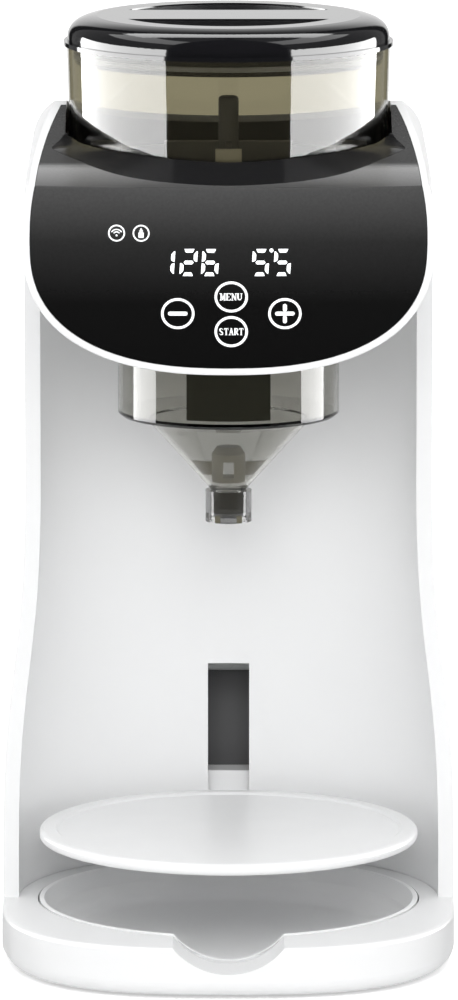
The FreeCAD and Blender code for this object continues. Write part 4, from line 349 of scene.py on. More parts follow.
floor_mesh = bpy.data.meshes.new("floor")
corners = [(-FLOOR_HALF, -FLOOR_HALF, 0), (FLOOR_HALF, -FLOOR_HALF, 0), (FLOOR_HALF, FLOOR_HALF, 0),
           (-FLOOR_HALF, FLOOR_HALF, 0)]
floor_mesh.from_pydata(corners, [], [(0, 1, 2, 3)])
floor_mesh.materials.append(floor_paint)
floor = bpy.data.objects.new("floor", floor_mesh)
floor.visible_glossy = False
scene.collection.objects.link(floor)
print("floor", 2 * FLOOR_HALF, "m square")

# %% [markdown]
# ## Moulded plastic
#
# Injection-moulded plastic is never one flat value. Its colour drifts by a percent or two, its
# gloss changes over a hand's width where the mould was polished by hand, and a fine texture or
# "orange peel" breaks up reflections. One function builds that for every opaque plastic here, from
# a colour, a roughness, the size of the grain and its depth. The white shells come from polished
# moulds, so their grain has no depth.

# %% moulded plastic
NOISE_LOW, NOISE_HIGH = 0.3, 0.7
COLOUR_DRIFT_SIZE = 60 * MM
GLOSS_DRIFT_SIZE = 25 * MM
GLOSS_LOW, GLOSS_HIGH = 0.85, 1.2


def noise(tree, place, size, detail=2.0):
    """Noise that repeats about once per size metres."""
    node = add_node(tree, "ShaderNodeTexNoise", Vector=place, Scale=1.0 / size, Detail=detail)
    return node.outputs["Fac"]


def spread(tree, value, low, high):
    """Maps noise, which mostly lies between NOISE_LOW and NOISE_HIGH, onto low to high."""
    node = tree.nodes.new("ShaderNodeMapRange")
    set_input(tree, node.inputs["Value"], value)
    ends = {"From Min": NOISE_LOW, "From Max": NOISE_HIGH, "To Min": low, "To Max": high}
    for name, number in ends.items():
        node.inputs[name].default_value = number
    return node.outputs["Result"]


def mix_colours(tree, factor, first, second):
    """Colour between first and second."""
    node = tree.nodes.new("ShaderNodeMix")
    node.data_type = "RGBA"
    set_input(tree, node.inputs["Factor"], factor)
    set_input(tree, node.inputs["A"], (*first, 1.0))
    set_input(tree, node.inputs["B"], (*second, 1.0))
    return node.outputs["Result"]


def start_material(name):
    """New material with a Principled shader, and the Object coordinates that its patterns use."""
    material = bpy.data.materials.new(name)
    material.use_nodes = True
    tree = material.node_tree
    shader = tree.nodes["Principled BSDF"]
    place = add_node(tree, "ShaderNodeTexCoord").outputs["Object"]
    return material, tree, shader, place


def add_bump(tree, shader, height_map, depth):
    """Bump of that depth, in metres, into the shader's normal."""
    bump = add_node(tree, "ShaderNodeBump", Height=height_map, Distance=depth, Strength=1.0)
    tree.links.new(bump.outputs["Normal"], shader.inputs["Normal"])


def moulded(name, colour, roughness, grain=0.4 * MM, depth=0.004 * MM, drift=0.03, shine=0.5):
    """Opaque moulded plastic: the colour drifts by the share drift, the gloss by about a fifth, and
    shine is the specular level."""
    material, tree, shader, place = start_material(name)
    slow = noise(tree, place, COLOUR_DRIFT_SIZE)
    darker = tuple(c * (1 - drift) for c in colour)
    lighter = tuple(min(1.0, c * (1 + drift)) for c in colour)
    tree.links.new(mix_colours(tree, slow, darker, lighter), shader.inputs["Base Color"])
    shader.inputs["Specular IOR Level"].default_value = shine
    patch = noise(tree, place, GLOSS_DRIFT_SIZE)
    rough = spread(tree, patch, roughness * GLOSS_LOW, roughness * GLOSS_HIGH)
    tree.links.new(rough, shader.inputs["Roughness"])
    if depth:
        add_bump(tree, shader, noise(tree, place, grain, 3.0), depth)
    return material


print("moulded plastic: its roughness drifts from", GLOSS_LOW, "to", GLOSS_HIGH, "times the given one")

# %% [markdown]
# ## Clear plastic
#
# The container, the funnel and the tank are clear parts with a real wall, so light bends twice at
# each wall and the rims go dark by themselves. A faint smoke tint is mixed into the plastic. A
# very shallow, slow bump stands for the flow waves of the mould.

# %% clear plastic
CLEAR_IOR = 1.46
SMEAR_SIZE = 30 * MM
SMEAR_LOW, SMEAR_HIGH = 0.6, 1.5
WAVE_SIZE, WAVE_DEPTH = 14 * MM, 0.02 * MM


def clear(name, tint, roughness):
    """Clear plastic with smears in its gloss and slow flow waves in its surface."""
    material, tree, shader, place = start_material(name)
    shader.inputs["Base Color"].default_value = (*tint, 1.0)
    shader.inputs["Transmission Weight"].default_value = 1.0
    shader.inputs["IOR"].default_value = CLEAR_IOR
    smears = noise(tree, place, SMEAR_SIZE)
    rough = spread(tree, smears, roughness * SMEAR_LOW, roughness * SMEAR_HIGH)
    tree.links.new(rough, shader.inputs["Roughness"])
    add_bump(tree, shader, noise(tree, place, WAVE_SIZE, 1.0), WAVE_DEPTH)
    return material


print("clear plastic: refractive index", CLEAR_IOR)

# %% [markdown]
# ## Metal
#
# Ground rods and shafts carry fine scratches round their length, a drawn motor can has them along
# it, and a die-cast block is dull and pebbled. All three are the same shader with a stretched or an
# even noise: the stretch is a Mapping node that draws the pattern out along one axis.

# %% metal
TARNISH_SIZE, TARNISH_TONE = 12 * MM, 0.82
SCRATCH_LOW, SCRATCH_HIGH = 0.7, 1.4


def metal(name, colour, roughness, stretch=(1.0, 1.0, 1.0), grain=0.5 * MM, depth=0.003 * MM):
    """Bare metal whose scratches run along the axis with the smallest stretch."""
    material, tree, shader, place = start_material(name)
    shader.inputs["Metallic"].default_value = 1.0
    drawn_out = add_node(tree, "ShaderNodeMapping", Vector=place)
    drawn_out.inputs["Scale"].default_value = stretch
    scratch = noise(tree, drawn_out.outputs[0], grain, 4.0)
    darker = tuple(c * TARNISH_TONE for c in colour)
    tarnish = noise(tree, place, TARNISH_SIZE)
    tree.links.new(mix_colours(tree, tarnish, darker, colour), shader.inputs["Base Color"])
    rough = spread(tree, scratch, roughness * SCRATCH_LOW, roughness * SCRATCH_HIGH)
    tree.links.new(rough, shader.inputs["Roughness"])
    add_bump(tree, shader, scratch, depth)
    return material


print("metal: scratches from", SCRATCH_LOW, "to", SCRATCH_HIGH, "times the given roughness")

# %% [markdown]
# ## Panel black
#
# The control panel is one black moulding with three faces, and its grey tones are painted reflection.
# The front has a painted charcoal sheen at its top edge that fades to full black below the display,
# and it is polished. The narrow brow above it is silkier and carries a brighter painted highlight that
# stands for the light from above and brightens towards the crease. The horns behind the crease get a
# plain dark grey painted sheen. Height on the piece tells the faces apart, so one ramp of painted grey
# tones over the height serves all three.

# %% panel black
PANEL_SPECKLE, SPECKLE_LOW, SPECKLE_HIGH = 1.2 * MM, 0.94, 1.06
PANEL_WIPE, WIPE_LOW, WIPE_HIGH = 40 * MM, 0.8, 1.2
PANEL_WAVE, PANEL_WAVE_DEPTH = 9 * MM, 0.006 * MM
PANEL_SHINE = 0.3


def stops(tree, value, low, high, marks):
    """Ramp over value from low to high; each mark is a height and a grey (or a number from 0 to 1)."""
    share = tree.nodes.new("ShaderNodeMapRange")
    set_input(tree, share.inputs["Value"], value)
    share.inputs["From Min"].default_value = low
    share.inputs["From Max"].default_value = high
    node = add_node(tree, "ShaderNodeValToRGB", Fac=share.outputs["Result"])
    band = node.color_ramp
    while len(band.elements) < len(marks):
        band.elements.new(0.5)
    for element, (place, grey) in zip(band.elements, marks):
        element.position = (place - low) / (high - low)
        element.color = (grey, grey, grey, 1.0)
    return node.outputs["Color"]


def panel_black(name, painted_sheen, gloss):
    """Black moulding whose painted grey sheen and roughness are given at heights on the piece, in metres."""
    material, tree, shader, place = start_material(name)
    up = add_node(tree, "ShaderNodeSeparateXYZ", Vector=place).outputs["Z"]
    low, high = painted_sheen[0][0], painted_sheen[-1][0]
    speckle = spread(tree, noise(tree, place, PANEL_SPECKLE), SPECKLE_LOW, SPECKLE_HIGH)
    speckled_sheen = tree.nodes.new("ShaderNodeVectorMath")
    speckled_sheen.operation = "SCALE"
    # painted reflection: the ramp of grey tones over the height paints the panel's sheen into its colour
    tree.links.new(stops(tree, up, low, high, painted_sheen), speckled_sheen.inputs[0])
    tree.links.new(speckle, speckled_sheen.inputs["Scale"])
    tree.links.new(speckled_sheen.outputs[0], shader.inputs["Base Color"])
    wipes = spread(tree, noise(tree, place, PANEL_WIPE), WIPE_LOW, WIPE_HIGH)
    polish = stops(tree, up, low, high, gloss)
    tree.links.new(calc(tree, "MULTIPLY", polish, wipes), shader.inputs["Roughness"])
    shader.inputs["Specular IOR Level"].default_value = PANEL_SHINE
    add_bump(tree, shader, noise(tree, place, PANEL_WAVE, 1.0), PANEL_WAVE_DEPTH)
    return material


print("panel black: specular level", PANEL_SHINE)

# %% [markdown]
# ## Lid black
#
# The lid is polished black outside. The two finger recesses are textured, so that fingers don't slip
# and prints don't show. They are the part below the top face and inside a circle round the axis.

# %% lid black
LID_WIPE = 30 * MM
LID_DUST, DUST_TONE = 40 * MM, 1.2
LID_GRAIN, LID_GRAIN_DEPTH = 0.5 * MM, 0.02 * MM
POLISHED_GRAIN = 0.02  # share of the grain that is left on the polished part


def lid_black(name, colour, gloss, recess_gloss, recess_r, recess_top):
    """Polished black that turns dull inside the radius recess_r and below the height recess_top."""
    material, tree, shader, place = start_material(name)
    at = add_node(tree, "ShaderNodeSeparateXYZ", Vector=place)
    back = calc(tree, "SUBTRACT", at.outputs["Y"], AXIS_Y)
    square = calc(tree, "ADD", calc(tree, "MULTIPLY", at.outputs["X"], at.outputs["X"]),
                  calc(tree, "MULTIPLY", back, back))
    reach = calc(tree, "SQRT", square)
    inside = calc(tree, "MULTIPLY", calc(tree, "LESS_THAN", reach, recess_r),
                  calc(tree, "LESS_THAN", at.outputs["Z"], recess_top))
    dull = calc(tree, "MULTIPLY", inside, recess_gloss - gloss)
    wipes = spread(tree, noise(tree, place, LID_WIPE), GLOSS_LOW, GLOSS_HIGH)
    rough = calc(tree, "MULTIPLY", calc(tree, "ADD", dull, gloss), wipes)
    tree.links.new(rough, shader.inputs["Roughness"])
    lighter = tuple(c * DUST_TONE for c in colour)
    dust = noise(tree, place, LID_DUST)
    tree.links.new(mix_colours(tree, dust, colour, lighter), shader.inputs["Base Color"])
    grain = calc(tree, "MULTIPLY", noise(tree, place, LID_GRAIN), calc(tree, "ADD", inside, POLISHED_GRAIN))
    add_bump(tree, shader, grain, LID_GRAIN_DEPTH)
    return material


print("lid black: texture depth", LID_GRAIN_DEPTH / MM, "mm in the recesses")

# %% [markdown]
# ## A finish for every slot
#
# Each piece of the construction names the slot of its finish. The table gives each slot the
# material that is made for it, and the loop puts it on every piece that uses the slot. Only the
# mixing funnel differs: it shares the container's slot but wears a darker smoke. The panel's painted
# sheen grey tones and its roughnesses are pairs of a height in metres and a value.

# %% finishes
RECESS_R, RECESS_TOP = 45.6 * MM, 396.2 * MM
# painted reflection: a charcoal sheen on the front's top, a bright painted highlight on the brow, a dark grey
# sheen on the horns
FASCIA_PAINTED_SHEEN = [(0.255, 0.004), (0.288, 0.0052), (0.313, 0.021), (0.3345, 0.064), (0.3362, 0.075),
                (0.3405, 0.24), (0.3420, 0.042), (0.361, 0.040)]
FASCIA_GLOSS = [(0.255, 0.06), (0.3345, 0.07), (0.3362, 0.34), (0.3405, 0.36), (0.3420, 0.22), (0.361, 0.20)]
finishes = {
    "white_gloss": moulded("white_gloss", (0.79, 0.794, 0.798), 0.36, depth=0, drift=0.01, shine=0.2),
    "tray_white": moulded("tray_white", (0.96, 0.963, 0.966), 0.40, depth=0, drift=0.01, shine=0.15),
    "white_satin": moulded("white_satin", (0.88, 0.884, 0.888), 0.45, depth=0, drift=0.015, shine=0.2),
    "black_gloss": panel_black("black_gloss", FASCIA_PAINTED_SHEEN, FASCIA_GLOSS),
    "collar_grey": moulded("collar_grey", (0.012, 0.012, 0.013), 0.12, drift=0.05),
    "lid_black": lid_black("lid_black", (0.006, 0.006, 0.007), 0.06, 0.55, RECESS_R, RECESS_TOP),
    "smoke_clear": clear("smoke_clear", (0.80, 0.79, 0.74), 0.015),
    "funnel_smoke": clear("funnel_smoke", (0.66, 0.655, 0.62), 0.015),
    "smoke_dark": clear("smoke_dark", (0.37, 0.37, 0.37), 0.03),
    "tank_clear": clear("tank_clear", (0.80, 0.84, 0.86), 0.03),
    "dark_plastic": moulded("dark_plastic", (0.030, 0.036, 0.037), 0.36, grain=0.3 * MM, depth=0.01 * MM),
    "natural_nylon": moulded("natural_nylon", (0.62, 0.59, 0.49), 0.38, grain=0.5 * MM, depth=0.008 * MM),
    "grey_plastic": moulded("grey_plastic", (0.20, 0.20, 0.205), 0.40, grain=0.35 * MM, depth=0.012 * MM),
    "seal_rubber": moulded("seal_rubber", (0.36, 0.37, 0.38), 0.60, grain=0.2 * MM, depth=0.008 * MM),
    "foot_rubber": moulded("foot_rubber", (0.020, 0.020, 0.021), 0.70, grain=0.25 * MM, depth=0.02 * MM),
    "hose_silicone": moulded("hose_silicone", (0.66, 0.68, 0.67), 0.30, grain=2.0 * MM, depth=0.01 * MM),
    "steel": metal("steel", (0.60, 0.61, 0.63), 0.22, stretch=(1.0, 1.0, 0.05)),
    "motor_steel": metal("motor_steel", (0.52, 0.53, 0.55), 0.32, stretch=(1.0, 1.0, 0.1)),
    "heater_metal": metal("heater_metal", (0.66, 0.67, 0.69), 0.42, grain=1.2 * MM, depth=0.02 * MM),
    "board_green": moulded("board_green", (0.012, 0.090, 0.035), 0.28, grain=0.6 * MM, depth=0.01 * MM,
                           drift=0.2),
    "component_black": moulded("component_black", (0.016, 0.016, 0.018), 0.38, grain=0.3 * MM,
                               depth=0.01 * MM),
    "display_white": moulded("display_white", (0.55, 0.56, 0.58), 0.25, drift=0.08),
}
slot_of = {piece["node"]: piece["material_slot"] for piece in frame["record"]["subparts"]}
for name, node in nodes.items():
    node.data.materials.clear()
    node.data.materials.append(finishes["funnel_smoke" if name == "mixing_funnel" else slot_of[name]])
print("finishes", len(finishes), "on", len(nodes), "pieces")

# %% [markdown]
# ## Printing on a curved panel
#
# The white marks on the panel are printed or lit. In metal type each would be a thin raised plate,
# and that is how they are made here: flat plates less than a tenth of a millimetre thick that
# follow the panel's slight crown. Two shapes are enough. A stroke is a strip of changing width
# along a path, which gives rings, bars, arcs and letters. A plate is a filled outline without
# hollows, which gives the bars of the display.

# %% print geometry
PANEL_CROWN_R = 0.89975
PRINT_PROUD = 0.00006
PRINT_SUNK = 0.00002
PANEL_FRONT_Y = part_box("front_fascia")[0].y


def on_panel(x, z, lift):
    """Points on the panel's front, a large upright cylinder: the depth grows as R less the root of
    R squared less x squared."""
    sag = PANEL_CROWN_R - np.sqrt(PANEL_CROWN_R ** 2 - x ** 2)
    return np.stack([x, PANEL_FRONT_Y + sag - lift, z], -1)


def tube_faces(rows, columns, closed):
    """Quads of a grid that closes round its columns, and along its rows too if closed."""
    last = rows if closed else rows - 1
    i, j = np.meshgrid(np.arange(last), np.arange(columns), indexing="ij")
    below, right = (i + 1) % rows, (j + 1) % columns
    quads = np.stack([i * columns + j, i * columns + right, below * columns + right, below * columns + j], -1)
    return quads.reshape(-1, 4).tolist()


def outward(points, faces):
    """Turns all faces round if the volume they enclose, the sum of each face's cone, is negative."""
    total = 0.0
    for face in faces:
        fan = points[list(face)]
        for k in range(1, len(face) - 1):
            total += np.dot(fan[0], np.cross(fan[k], fan[k + 1]))
    return faces if total > 0 else [tuple(reversed(face)) for face in faces]


def stroke(path, half_width, closed=False, lay=on_panel):
    """Strip along a path of (x, z): each row holds the path's point plus and minus the half width
    along the path's normal, on the surface that lay describes and just under it."""
    path = np.asarray(path, float)
    ahead = np.roll(path, -1, 0) - np.roll(path, 1, 0)
    if not closed:
        ahead[0], ahead[-1] = path[1] - path[0], path[-1] - path[-2]
    ahead /= np.linalg.norm(ahead, axis=1)[:, None]
    across = np.stack([-ahead[:, 1], ahead[:, 0]], 1) * np.broadcast_to(half_width, len(path))[:, None]
    rows = np.stack([path + across, path - across, path - across, path + across], 1)
    lift = np.array([PRINT_PROUD, PRINT_PROUD, -PRINT_SUNK, -PRINT_SUNK])
    points = lay(rows[..., 0], rows[..., 1], lift).reshape(-1, 3)
    faces = tube_faces(len(path), 4, closed)
    if not closed:
        end = 4 * (len(path) - 1)
        faces += [(3, 2, 1, 0), (end, end + 1, end + 2, end + 3)]
    return points, outward(points, faces)


def plate(outline):
    """Filled outline of (x, z) points, in order, as a thin closed slab on the panel."""
    outline = np.asarray(outline, float)
    x, z = outline[:, 0], outline[:, 1]
    count = len(outline)
    points = np.concatenate([on_panel(x, z, PRINT_PROUD), on_panel(x, z, -PRINT_SUNK)])
    faces = [tuple(range(count)), tuple(reversed(range(count, 2 * count)))]
    faces += [(k, k + count, (k + 1) % count + count, (k + 1) % count) for k in range(count)]
    return points, outward(points, faces)


def piece_from(name, parts, material, body):
    """One flat-shaded mesh object from several (points, faces) parts, riding on a body."""
    points, faces, start = [], [], 0
    for part_points, part_faces in parts:
        points.append(part_points)
        faces += [tuple(start + k for k in face) for face in part_faces]
        start += len(part_points)
    mesh = bpy.data.meshes.new(name)
    mesh.from_pydata(np.concatenate(points).tolist(), [], faces)
    mesh.materials.append(material)
    mesh.update()
    made = bpy.data.objects.new(name, mesh)
    scene.collection.objects.link(made)
    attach(made, body)
    print(name, len(points), "parts,", len(faces), "faces")


print("panel front at y =", round(PANEL_FRONT_Y, 4))

# %% [markdown]
# ## Dark sleeve under the chute
#
# Powder falls from the chute in the roof of the funnel's socket. A short black sleeve hangs below it,
# behind the clear skirt of the funnel, and makes the middle of the funnel look dark through the skirt;
# its front wall follows the skirt. The sleeve is a guess, and it would be moulded in one with the
# socket. Here it is one closed tube: the same outline is laid twice, outside and inside, at the foot
# and at the top.

# %% dark sleeve
GUIDE_R, GUIDE_HALF, GUIDE_BACK = 43.0 * MM, 17.2 * MM, -19.0 * MM
GUIDE_WALL = 1.4 * MM
GUIDE_FOOT, GUIDE_TOP = 232.2 * MM, 275.8 * MM
GUIDE_STEPS = 25


def guide_outline(inset):
    """Points (x, y): an arc about the axis for the front, which reaches to both sides by the angle
    whose sine is the half width over the radius, and a straight back."""
    radius, half = GUIDE_R - inset, GUIDE_HALF - inset
    reach = math.asin(half / radius)
    turn = np.linspace(-reach, reach, GUIDE_STEPS)
    front = [(radius * math.sin(a), -radius * math.cos(a)) for a in turn]
    return np.asarray(front + [(half, GUIDE_BACK - inset), (-half, GUIDE_BACK - inset)])


def guide_loop(inset, z):
    """The outline at one height, about the machine's axis."""
    flat = guide_outline(inset)
    return np.column_stack([flat[:, 0], flat[:, 1] + AXIS_Y, np.full(len(flat), z)])


loops = [guide_loop(0.0, GUIDE_FOOT), guide_loop(0.0, GUIDE_TOP),
         guide_loop(GUIDE_WALL, GUIDE_TOP), guide_loop(GUIDE_WALL, GUIDE_FOOT)]
guide_points = np.stack(loops, 1).reshape(-1, 3)
guide_faces = outward(guide_points, tube_faces(len(loops[0]), 4, True))
# a dark sleeve behind the funnel's clear skirt, which makes the funnel's middle look dark
piece_from("funnel_dark_sleeve", [(guide_points, guide_faces)], finishes["dark_plastic"], "housing")

# %% [markdown]
# ## Ink and lit segments
#
# The marks are white ink, slightly uneven where the screen printed it, with a faint light behind
# it. The digits shine through the panel, so they give more light of their own, just enough to read
# as white. The ink of the tank's scale is grey and gives none.

# %% ink
INK_SPECKLE, INK_THIN = 0.25 * MM, 0.93
INK_ROUGHNESS = 0.35


def ink(name, colour, light):
    """Print of one colour that also glows with the strength light."""
    material, tree, shader, place = start_material(name)
    speckle = spread(tree, noise(tree, place, INK_SPECKLE, 3.0), 0.0, 1.0)
    thin = tuple(c * INK_THIN for c in colour)
    tree.links.new(mix_colours(tree, speckle, thin, colour), shader.inputs["Base Color"])
    shader.inputs["Roughness"].default_value = INK_ROUGHNESS
    shader.inputs["Emission Color"].default_value = (*colour, 1.0)
    shader.inputs["Emission Strength"].default_value = light
    return material


white_ink = ink("white_ink", (0.90, 0.91, 0.92), 0.35)
lit_segment = ink("lit_segment", (0.93, 0.95, 0.97), 0.9)
print("inks", white_ink.name, lit_segment.name)

# %% [markdown]
# ## Touch keys
#
# The keys are touch areas behind the panel, each marked by a printed ring: less, more, menu and
# start. A ring is a stroke along an ellipse. The bars of less and more have round ends, so their
# half width follows a circle near each end.

# %% touch keys
KEY_RX, KEY_RZ = 6.3 * MM, 5.85 * MM
KEY_LINE = 0.52 * MM
BAR_HALF = 4.0 * MM
BAR_THICK = 0.82 * MM
FIRST_SWING = 0.12  # radians: a blunt tip in place of a point
KEYS = {"less": (-20.7, 284.0), "more": (23.0, 284.0), "menu": (1.1, 290.9), "start": (1.1, 276.6)}
KEYS = {name: (x * MM, z * MM) for name, (x, z) in KEYS.items()}


def ellipse(centre, rx, rz, count=72):
    """Points (x, z) at equal angles round an ellipse."""
    angle = np.linspace(0, 2 * np.pi, count, endpoint=False)
    return np.stack([centre[0] + rx * np.cos(angle), centre[1] + rz * np.sin(angle)], 1)


def round_bar(a, b, half_width, steps=7):
    """Straight stroke from a to b whose ends are half circles: near an end the half width is the
    circle's sine where the way along is one less its cosine."""
    a, b = np.asarray(a, float), np.asarray(b, float)
    length = np.linalg.norm(b - a)
    swing = np.linspace(FIRST_SWING, np.pi / 2, steps)
    run = half_width * (1 - np.cos(swing))
    along = np.concatenate([run, (length - run)[::-1]])
    width = half_width * np.concatenate([np.sin(swing), np.sin(swing)[::-1]])
    return stroke(a + np.outer(along / length, b - a), width)


key_prints = []
for centre in KEYS.values():
    key_prints.append(stroke(ellipse(centre, KEY_RX, KEY_RZ), KEY_LINE, closed=True))
for name in ("less", "more"):
    x, z = KEYS[name]
    key_prints.append(round_bar((x - BAR_HALF, z), (x + BAR_HALF, z), BAR_THICK))
x, z = KEYS["more"]
key_prints.append(round_bar((x, z + BAR_THICK), (x, z + BAR_HALF), BAR_THICK))
key_prints.append(round_bar((x, z - BAR_THICK), (x, z - BAR_HALF), BAR_THICK))
piece_from("key_rings", key_prints, white_ink, "housing")

# %% [markdown]
# ## Letters
#
# The two words are set in a plain bold slab face: thick uprights, thinner joins and short feet.
# Each letter is a list of straight strokes on a cell one unit wide and one unit high, with the
# stroke's half width. Rounded letters use short chords.

# %% letters
THICK, THIN, FOOT = 0.13, 0.07, 0.055
SLAB = 0.20
MENU_WIDTH, START_WIDTH, WORD_HEIGHT = 9.2 * MM, 10.2 * MM, 2.9 * MM


def feet(xs, z):
    """Short slabs across the ends of uprights."""
    return [((x - SLAB, z), (x + SLAB, z), FOOT) for x in xs]


LETTERS = {
    "M": [((0.16, 0), (0.16, 1), THIN), ((0.84, 0), (0.84, 1), THICK), ((0.18, 1), (0.5, 0.1), THICK),
          ((0.5, 0.1), (0.82, 1), THIN)] + feet((0.16, 0.84), 0.04) + feet((0.12, 0.88), 0.96),
    "E": [((0.28, 0), (0.28, 1), THICK), ((0.1, 0.96), (0.86, 0.96), FOOT), ((0.28, 0.5), (0.7, 0.5), FOOT),
          ((0.1, 0.04), (0.88, 0.04), FOOT), ((0.86, 0.96), (0.86, 0.76), FOOT),
          ((0.88, 0.04), (0.88, 0.26), FOOT)],
    "N": [((0.18, 0), (0.18, 1), THIN), ((0.82, 0), (0.82, 1), THIN), ((0.2, 0.95), (0.8, 0.05), THICK)]
    + feet((0.18,), 0.04) + feet((0.14, 0.84), 0.96),
    "U": [((0.2, 1), (0.22, 0.3), THICK), ((0.22, 0.3), (0.38, 0.08), THICK),
          ((0.38, 0.08), (0.62, 0.08), THIN), ((0.62, 0.08), (0.8, 0.3), THIN), ((0.8, 0.3), (0.8, 1), THIN)]
    + feet((0.2, 0.8), 0.96),
    "S": [((0.8, 0.78), (0.6, 0.95), FOOT), ((0.6, 0.95), (0.34, 0.93), THIN),
          ((0.34, 0.93), (0.2, 0.76), THICK), ((0.2, 0.76), (0.34, 0.57), THICK),
          ((0.34, 0.57), (0.68, 0.42), THICK), ((0.68, 0.42), (0.82, 0.24), THICK),
          ((0.82, 0.24), (0.66, 0.07), THICK), ((0.66, 0.07), (0.38, 0.05), THIN),
          ((0.38, 0.05), (0.18, 0.22), FOOT)],
    "T": [((0.5, 0), (0.5, 0.96), THICK), ((0.1, 0.95), (0.9, 0.95), FOOT),
          ((0.12, 0.95), (0.12, 0.74), FOOT), ((0.88, 0.95), (0.88, 0.74), FOOT)] + feet((0.5,), 0.04),
    "A": [((0.18, 0), (0.5, 1), THIN), ((0.5, 1), (0.82, 0), THICK), ((0.3, 0.34), (0.7, 0.34), FOOT)]
    + feet((0.18, 0.82), 0.04),
    "R": [((0.25, 0), (0.25, 1), THICK), ((0.1, 0.95), (0.6, 0.95), FOOT),
          ((0.6, 0.95), (0.8, 0.76), THICK), ((0.8, 0.76), (0.6, 0.52), THICK),
          ((0.6, 0.52), (0.25, 0.5), FOOT), ((0.5, 0.5), (0.86, 0.03), THICK)] + feet((0.25,), 0.04),
    "X": [((0.18, 1), (0.82, 0), THICK), ((0.82, 1), (0.18, 0), THIN)]
    + feet((0.2, 0.8), 0.96) + feet((0.2, 0.8), 0.04),
}


def word(text, centre, width, height, lay=on_panel):
    """Strokes of a word, centred on a point, each letter in an equal cell."""
    cell = width / len(text)
    left = centre[0] - width / 2
    parts = []
    for place, letter in enumerate(text):
        for start, end, half in LETTERS[letter]:
            a = (left + cell * (place + start[0]), centre[1] + height * (start[1] - 0.5))
            b = (left + cell * (place + end[0]), centre[1] + height * (end[1] - 0.5))
            parts.append(stroke([a, b], half * cell, lay=lay))
    return parts


words = word("MENU", KEYS["menu"], MENU_WIDTH, WORD_HEIGHT)
words += word("START", KEYS["start"], START_WIDTH, WORD_HEIGHT)
piece_from("key_words", words, white_ink, "housing")

# %% [markdown]
# ## Display
#
# A seven-segment digit leans a few degrees. Its bars are mitred where they meet: the top bar is
# long outside and short inside, the side bars are bulged slats, and the middle bar is pointed at
# both ends. Each bar is one outline in the digit's cell, and a digit is the set of its lit bars.

# %% display
DIGIT_W, DIGIT_H = 6.9 * MM, 11.1 * MM
DIGIT_LOW = 299.5 * MM
BAR, BAR_GAP = 1.5 * MM, 0.26 * MM
LEAN = 0.066
DIGIT_STARTS = (-28.9, -19.7, -10.9, 9.6, 18.5)
DIGIT_TEXT = "12655"
LIT = {"1": "bc", "2": "abged", "5": "afgcd", "6": "afgcde"}
DOT = (17.5 * MM, 310.0 * MM)
DOT_R, DOT_POINTS = 0.8 * MM, 20


def segment(which):
    """Outline of one bar in a cell DIGIT_W wide and DIGIT_H high, before it leans. Bars are lettered
    clockwise from the top, a to f, with g in the middle; corners are multiples of the bar's width t."""
    w, h, t, gap = DIGIT_W, DIGIT_H, BAR, BAR_GAP
    mid = h / 2
    flat = [(t * 0.78 + gap, 0), (w - t * 0.78 - gap, 0), (w - t * 1.25, t * 0.8), (w - t * 1.5, t),
            (t * 1.5, t), (t * 1.25, t * 0.8)]
    slat = [(0, t * 0.62), (t * 0.3, t * 0.48 + gap), (t * 0.85, t * 1.1 + gap), (t, t * 1.6),
            (t, mid - t * 0.95), (t * 0.8, mid - t * 0.42), (0, mid - gap)]
    if which == "g":
        return [(t * 0.95, mid), (t * 1.35, mid - t / 2), (w - t * 1.35, mid - t / 2), (w - t * 0.95, mid),
                (w - t * 1.35, mid + t / 2), (t * 1.35, mid + t / 2)]
    if which in "ad":
        return flat if which == "d" else [(x, h - z) for x, z in flat]
    left = [(x, z) if which in "ec" else (x, h - z) for x, z in slat]
    return left if which in "ef" else [(w - x, z) for x, z in left]


bars = []
for digit, start in zip(DIGIT_TEXT, DIGIT_STARTS):
    for which in LIT[digit]:
        outline = [(start * MM + x + LEAN * (z - DIGIT_H / 2), DIGIT_LOW + z) for x, z in segment(which)]
        bars.append(plate(outline))
bars.append(plate(ellipse(DOT, DOT_R, DOT_R, DOT_POINTS)))
piece_from("display_digits", bars, lit_segment, "housing")

# %% [markdown]
# ## Two small signs
#
# A ringed fan of arcs shows that the machine is linked, and a ringed bottle shows that one stands
# in the bay. The bottle is a body with its shoulder, a neck and a teat, drawn as three filled
# outlines.

# %% signs
SIGN_R, SIGN_LINE = 3.15 * MM, 0.31 * MM
LINK_SIGN = (-45.6 * MM, 317.0 * MM)
BOTTLE_SIGN = (-35.6 * MM, 317.0 * MM)
FAN_DROP, FAN_LINE, FAN_DOT = 0.95 * MM, 0.24 * MM, 0.42 * MM
FAN_ARCS = ((2.45 * MM, 0.98), (1.45 * MM, 0.95))
RING_STEPS, ARC_STEPS, DOT_STEPS = 48, 17, 16
BOTTLE_BODY = ((-1.0, -1.9), (1.0, -1.9), (1.1, -1.6), (1.1, 0.1), (0.7, 0.6), (-0.7, 0.6), (-1.1, 0.1),
               (-1.1, -1.6))
BOTTLE_NECK = ((-0.75, 0.75), (0.75, 0.75), (0.75, 1.15), (-0.75, 1.15))
TEAT_UP, TEAT_RX, TEAT_RZ = 1.55 * MM, 0.42 * MM, 0.5 * MM


def fan(centre, radius, half_angle, half_width):
    """Arc of a circle round centre, symmetric about the upward direction."""
    angle = np.linspace(-half_angle, half_angle, ARC_STEPS)
    path = np.stack([centre[0] + radius * np.sin(angle), centre[1] + radius * np.cos(angle)], 1)
    return stroke(path, half_width)


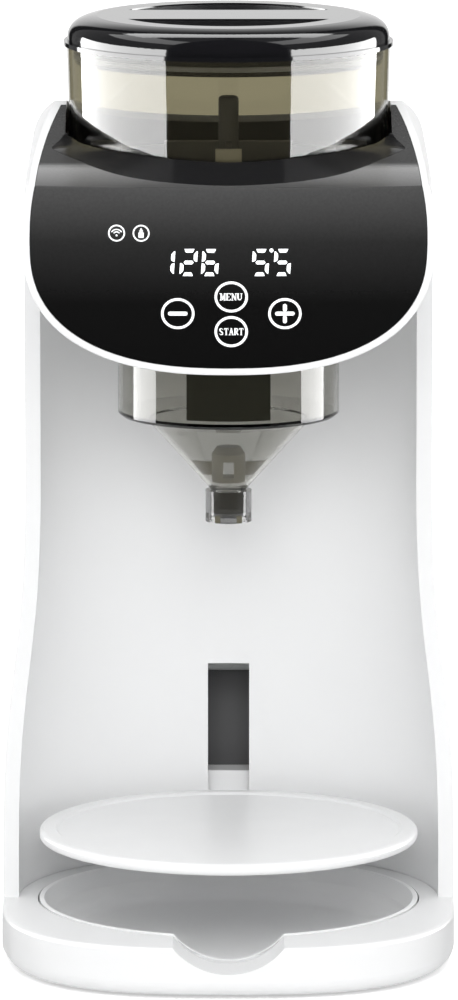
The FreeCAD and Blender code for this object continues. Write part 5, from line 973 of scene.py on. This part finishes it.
signs = [stroke(ellipse(centre, SIGN_R, SIGN_R, RING_STEPS), SIGN_LINE, closed=True)
         for centre in (LINK_SIGN, BOTTLE_SIGN)]
foot_point = (LINK_SIGN[0], LINK_SIGN[1] - FAN_DROP)
signs += [fan(foot_point, radius, half_angle, FAN_LINE) for radius, half_angle in FAN_ARCS]
signs.append(plate(ellipse(foot_point, FAN_DOT, FAN_DOT, DOT_STEPS)))
bx, bz = BOTTLE_SIGN
for outline in (BOTTLE_BODY, BOTTLE_NECK):
    signs.append(plate([(bx + x * MM, bz + z * MM) for x, z in outline]))
signs.append(plate(ellipse((bx, bz + TEAT_UP), TEAT_RX, TEAT_RZ, DOT_STEPS)))
piece_from("panel_signs", signs, white_ink, "housing")

# %% [markdown]
# ## Water level marks
#
# A tank that is filled at the tap needs a scale that can be read from behind: a short bar for every
# centimetre of height, a longer one at each fifth, and a full line under the word for the highest
# fill. The marks are printed on the flat outside of the tank's back wall.

# %% level marks
AXIS_TO_TANK_FACE = 203 * MM
TANK_FACE_Y = AXIS_Y + AXIS_TO_TANK_FACE
MARK_X = -44 * MM
MARK_FOOT, MARK_STEP, MARKS = 70 * MM, 10 * MM, 21
SHORT_MARK, LONG_MARK, FULL_MARK = 5 * MM, 9 * MM, 30 * MM
LONG_EVERY = 5
MARK_LINE, FULL_LINE = 0.35 * MM, 0.5 * MM
MAX_ASIDE, MAX_UP = 22 * MM, 5 * MM
MAX_WIDTH, MAX_HEIGHT = 12 * MM, 5 * MM


def on_tank(x, z, lift):
    """Points on the tank's flat back wall. Its right hand is the viewer's left there, so x is turned
    round."""
    return np.stack([-x, np.full_like(x, TANK_FACE_Y) + lift, z], -1)


tank_ink = ink("tank_ink", (0.30, 0.32, 0.35), 0.0)
level_marks = []
for k in range(MARKS):
    z = MARK_FOOT + k * MARK_STEP
    length = SHORT_MARK if k % LONG_EVERY else LONG_MARK
    level_marks.append(stroke([(MARK_X, z), (MARK_X + length, z)], MARK_LINE, lay=on_tank))
full_z = MARK_FOOT + (MARKS - 1) * MARK_STEP
level_marks.append(stroke([(MARK_X, full_z), (MARK_X + FULL_MARK, full_z)], FULL_LINE, lay=on_tank))
level_marks += word("MAX", (MARK_X + MAX_ASIDE, full_z + MAX_UP), MAX_WIDTH, MAX_HEIGHT, lay=on_tank)
piece_from("level_marks", level_marks, tank_ink, "tank")
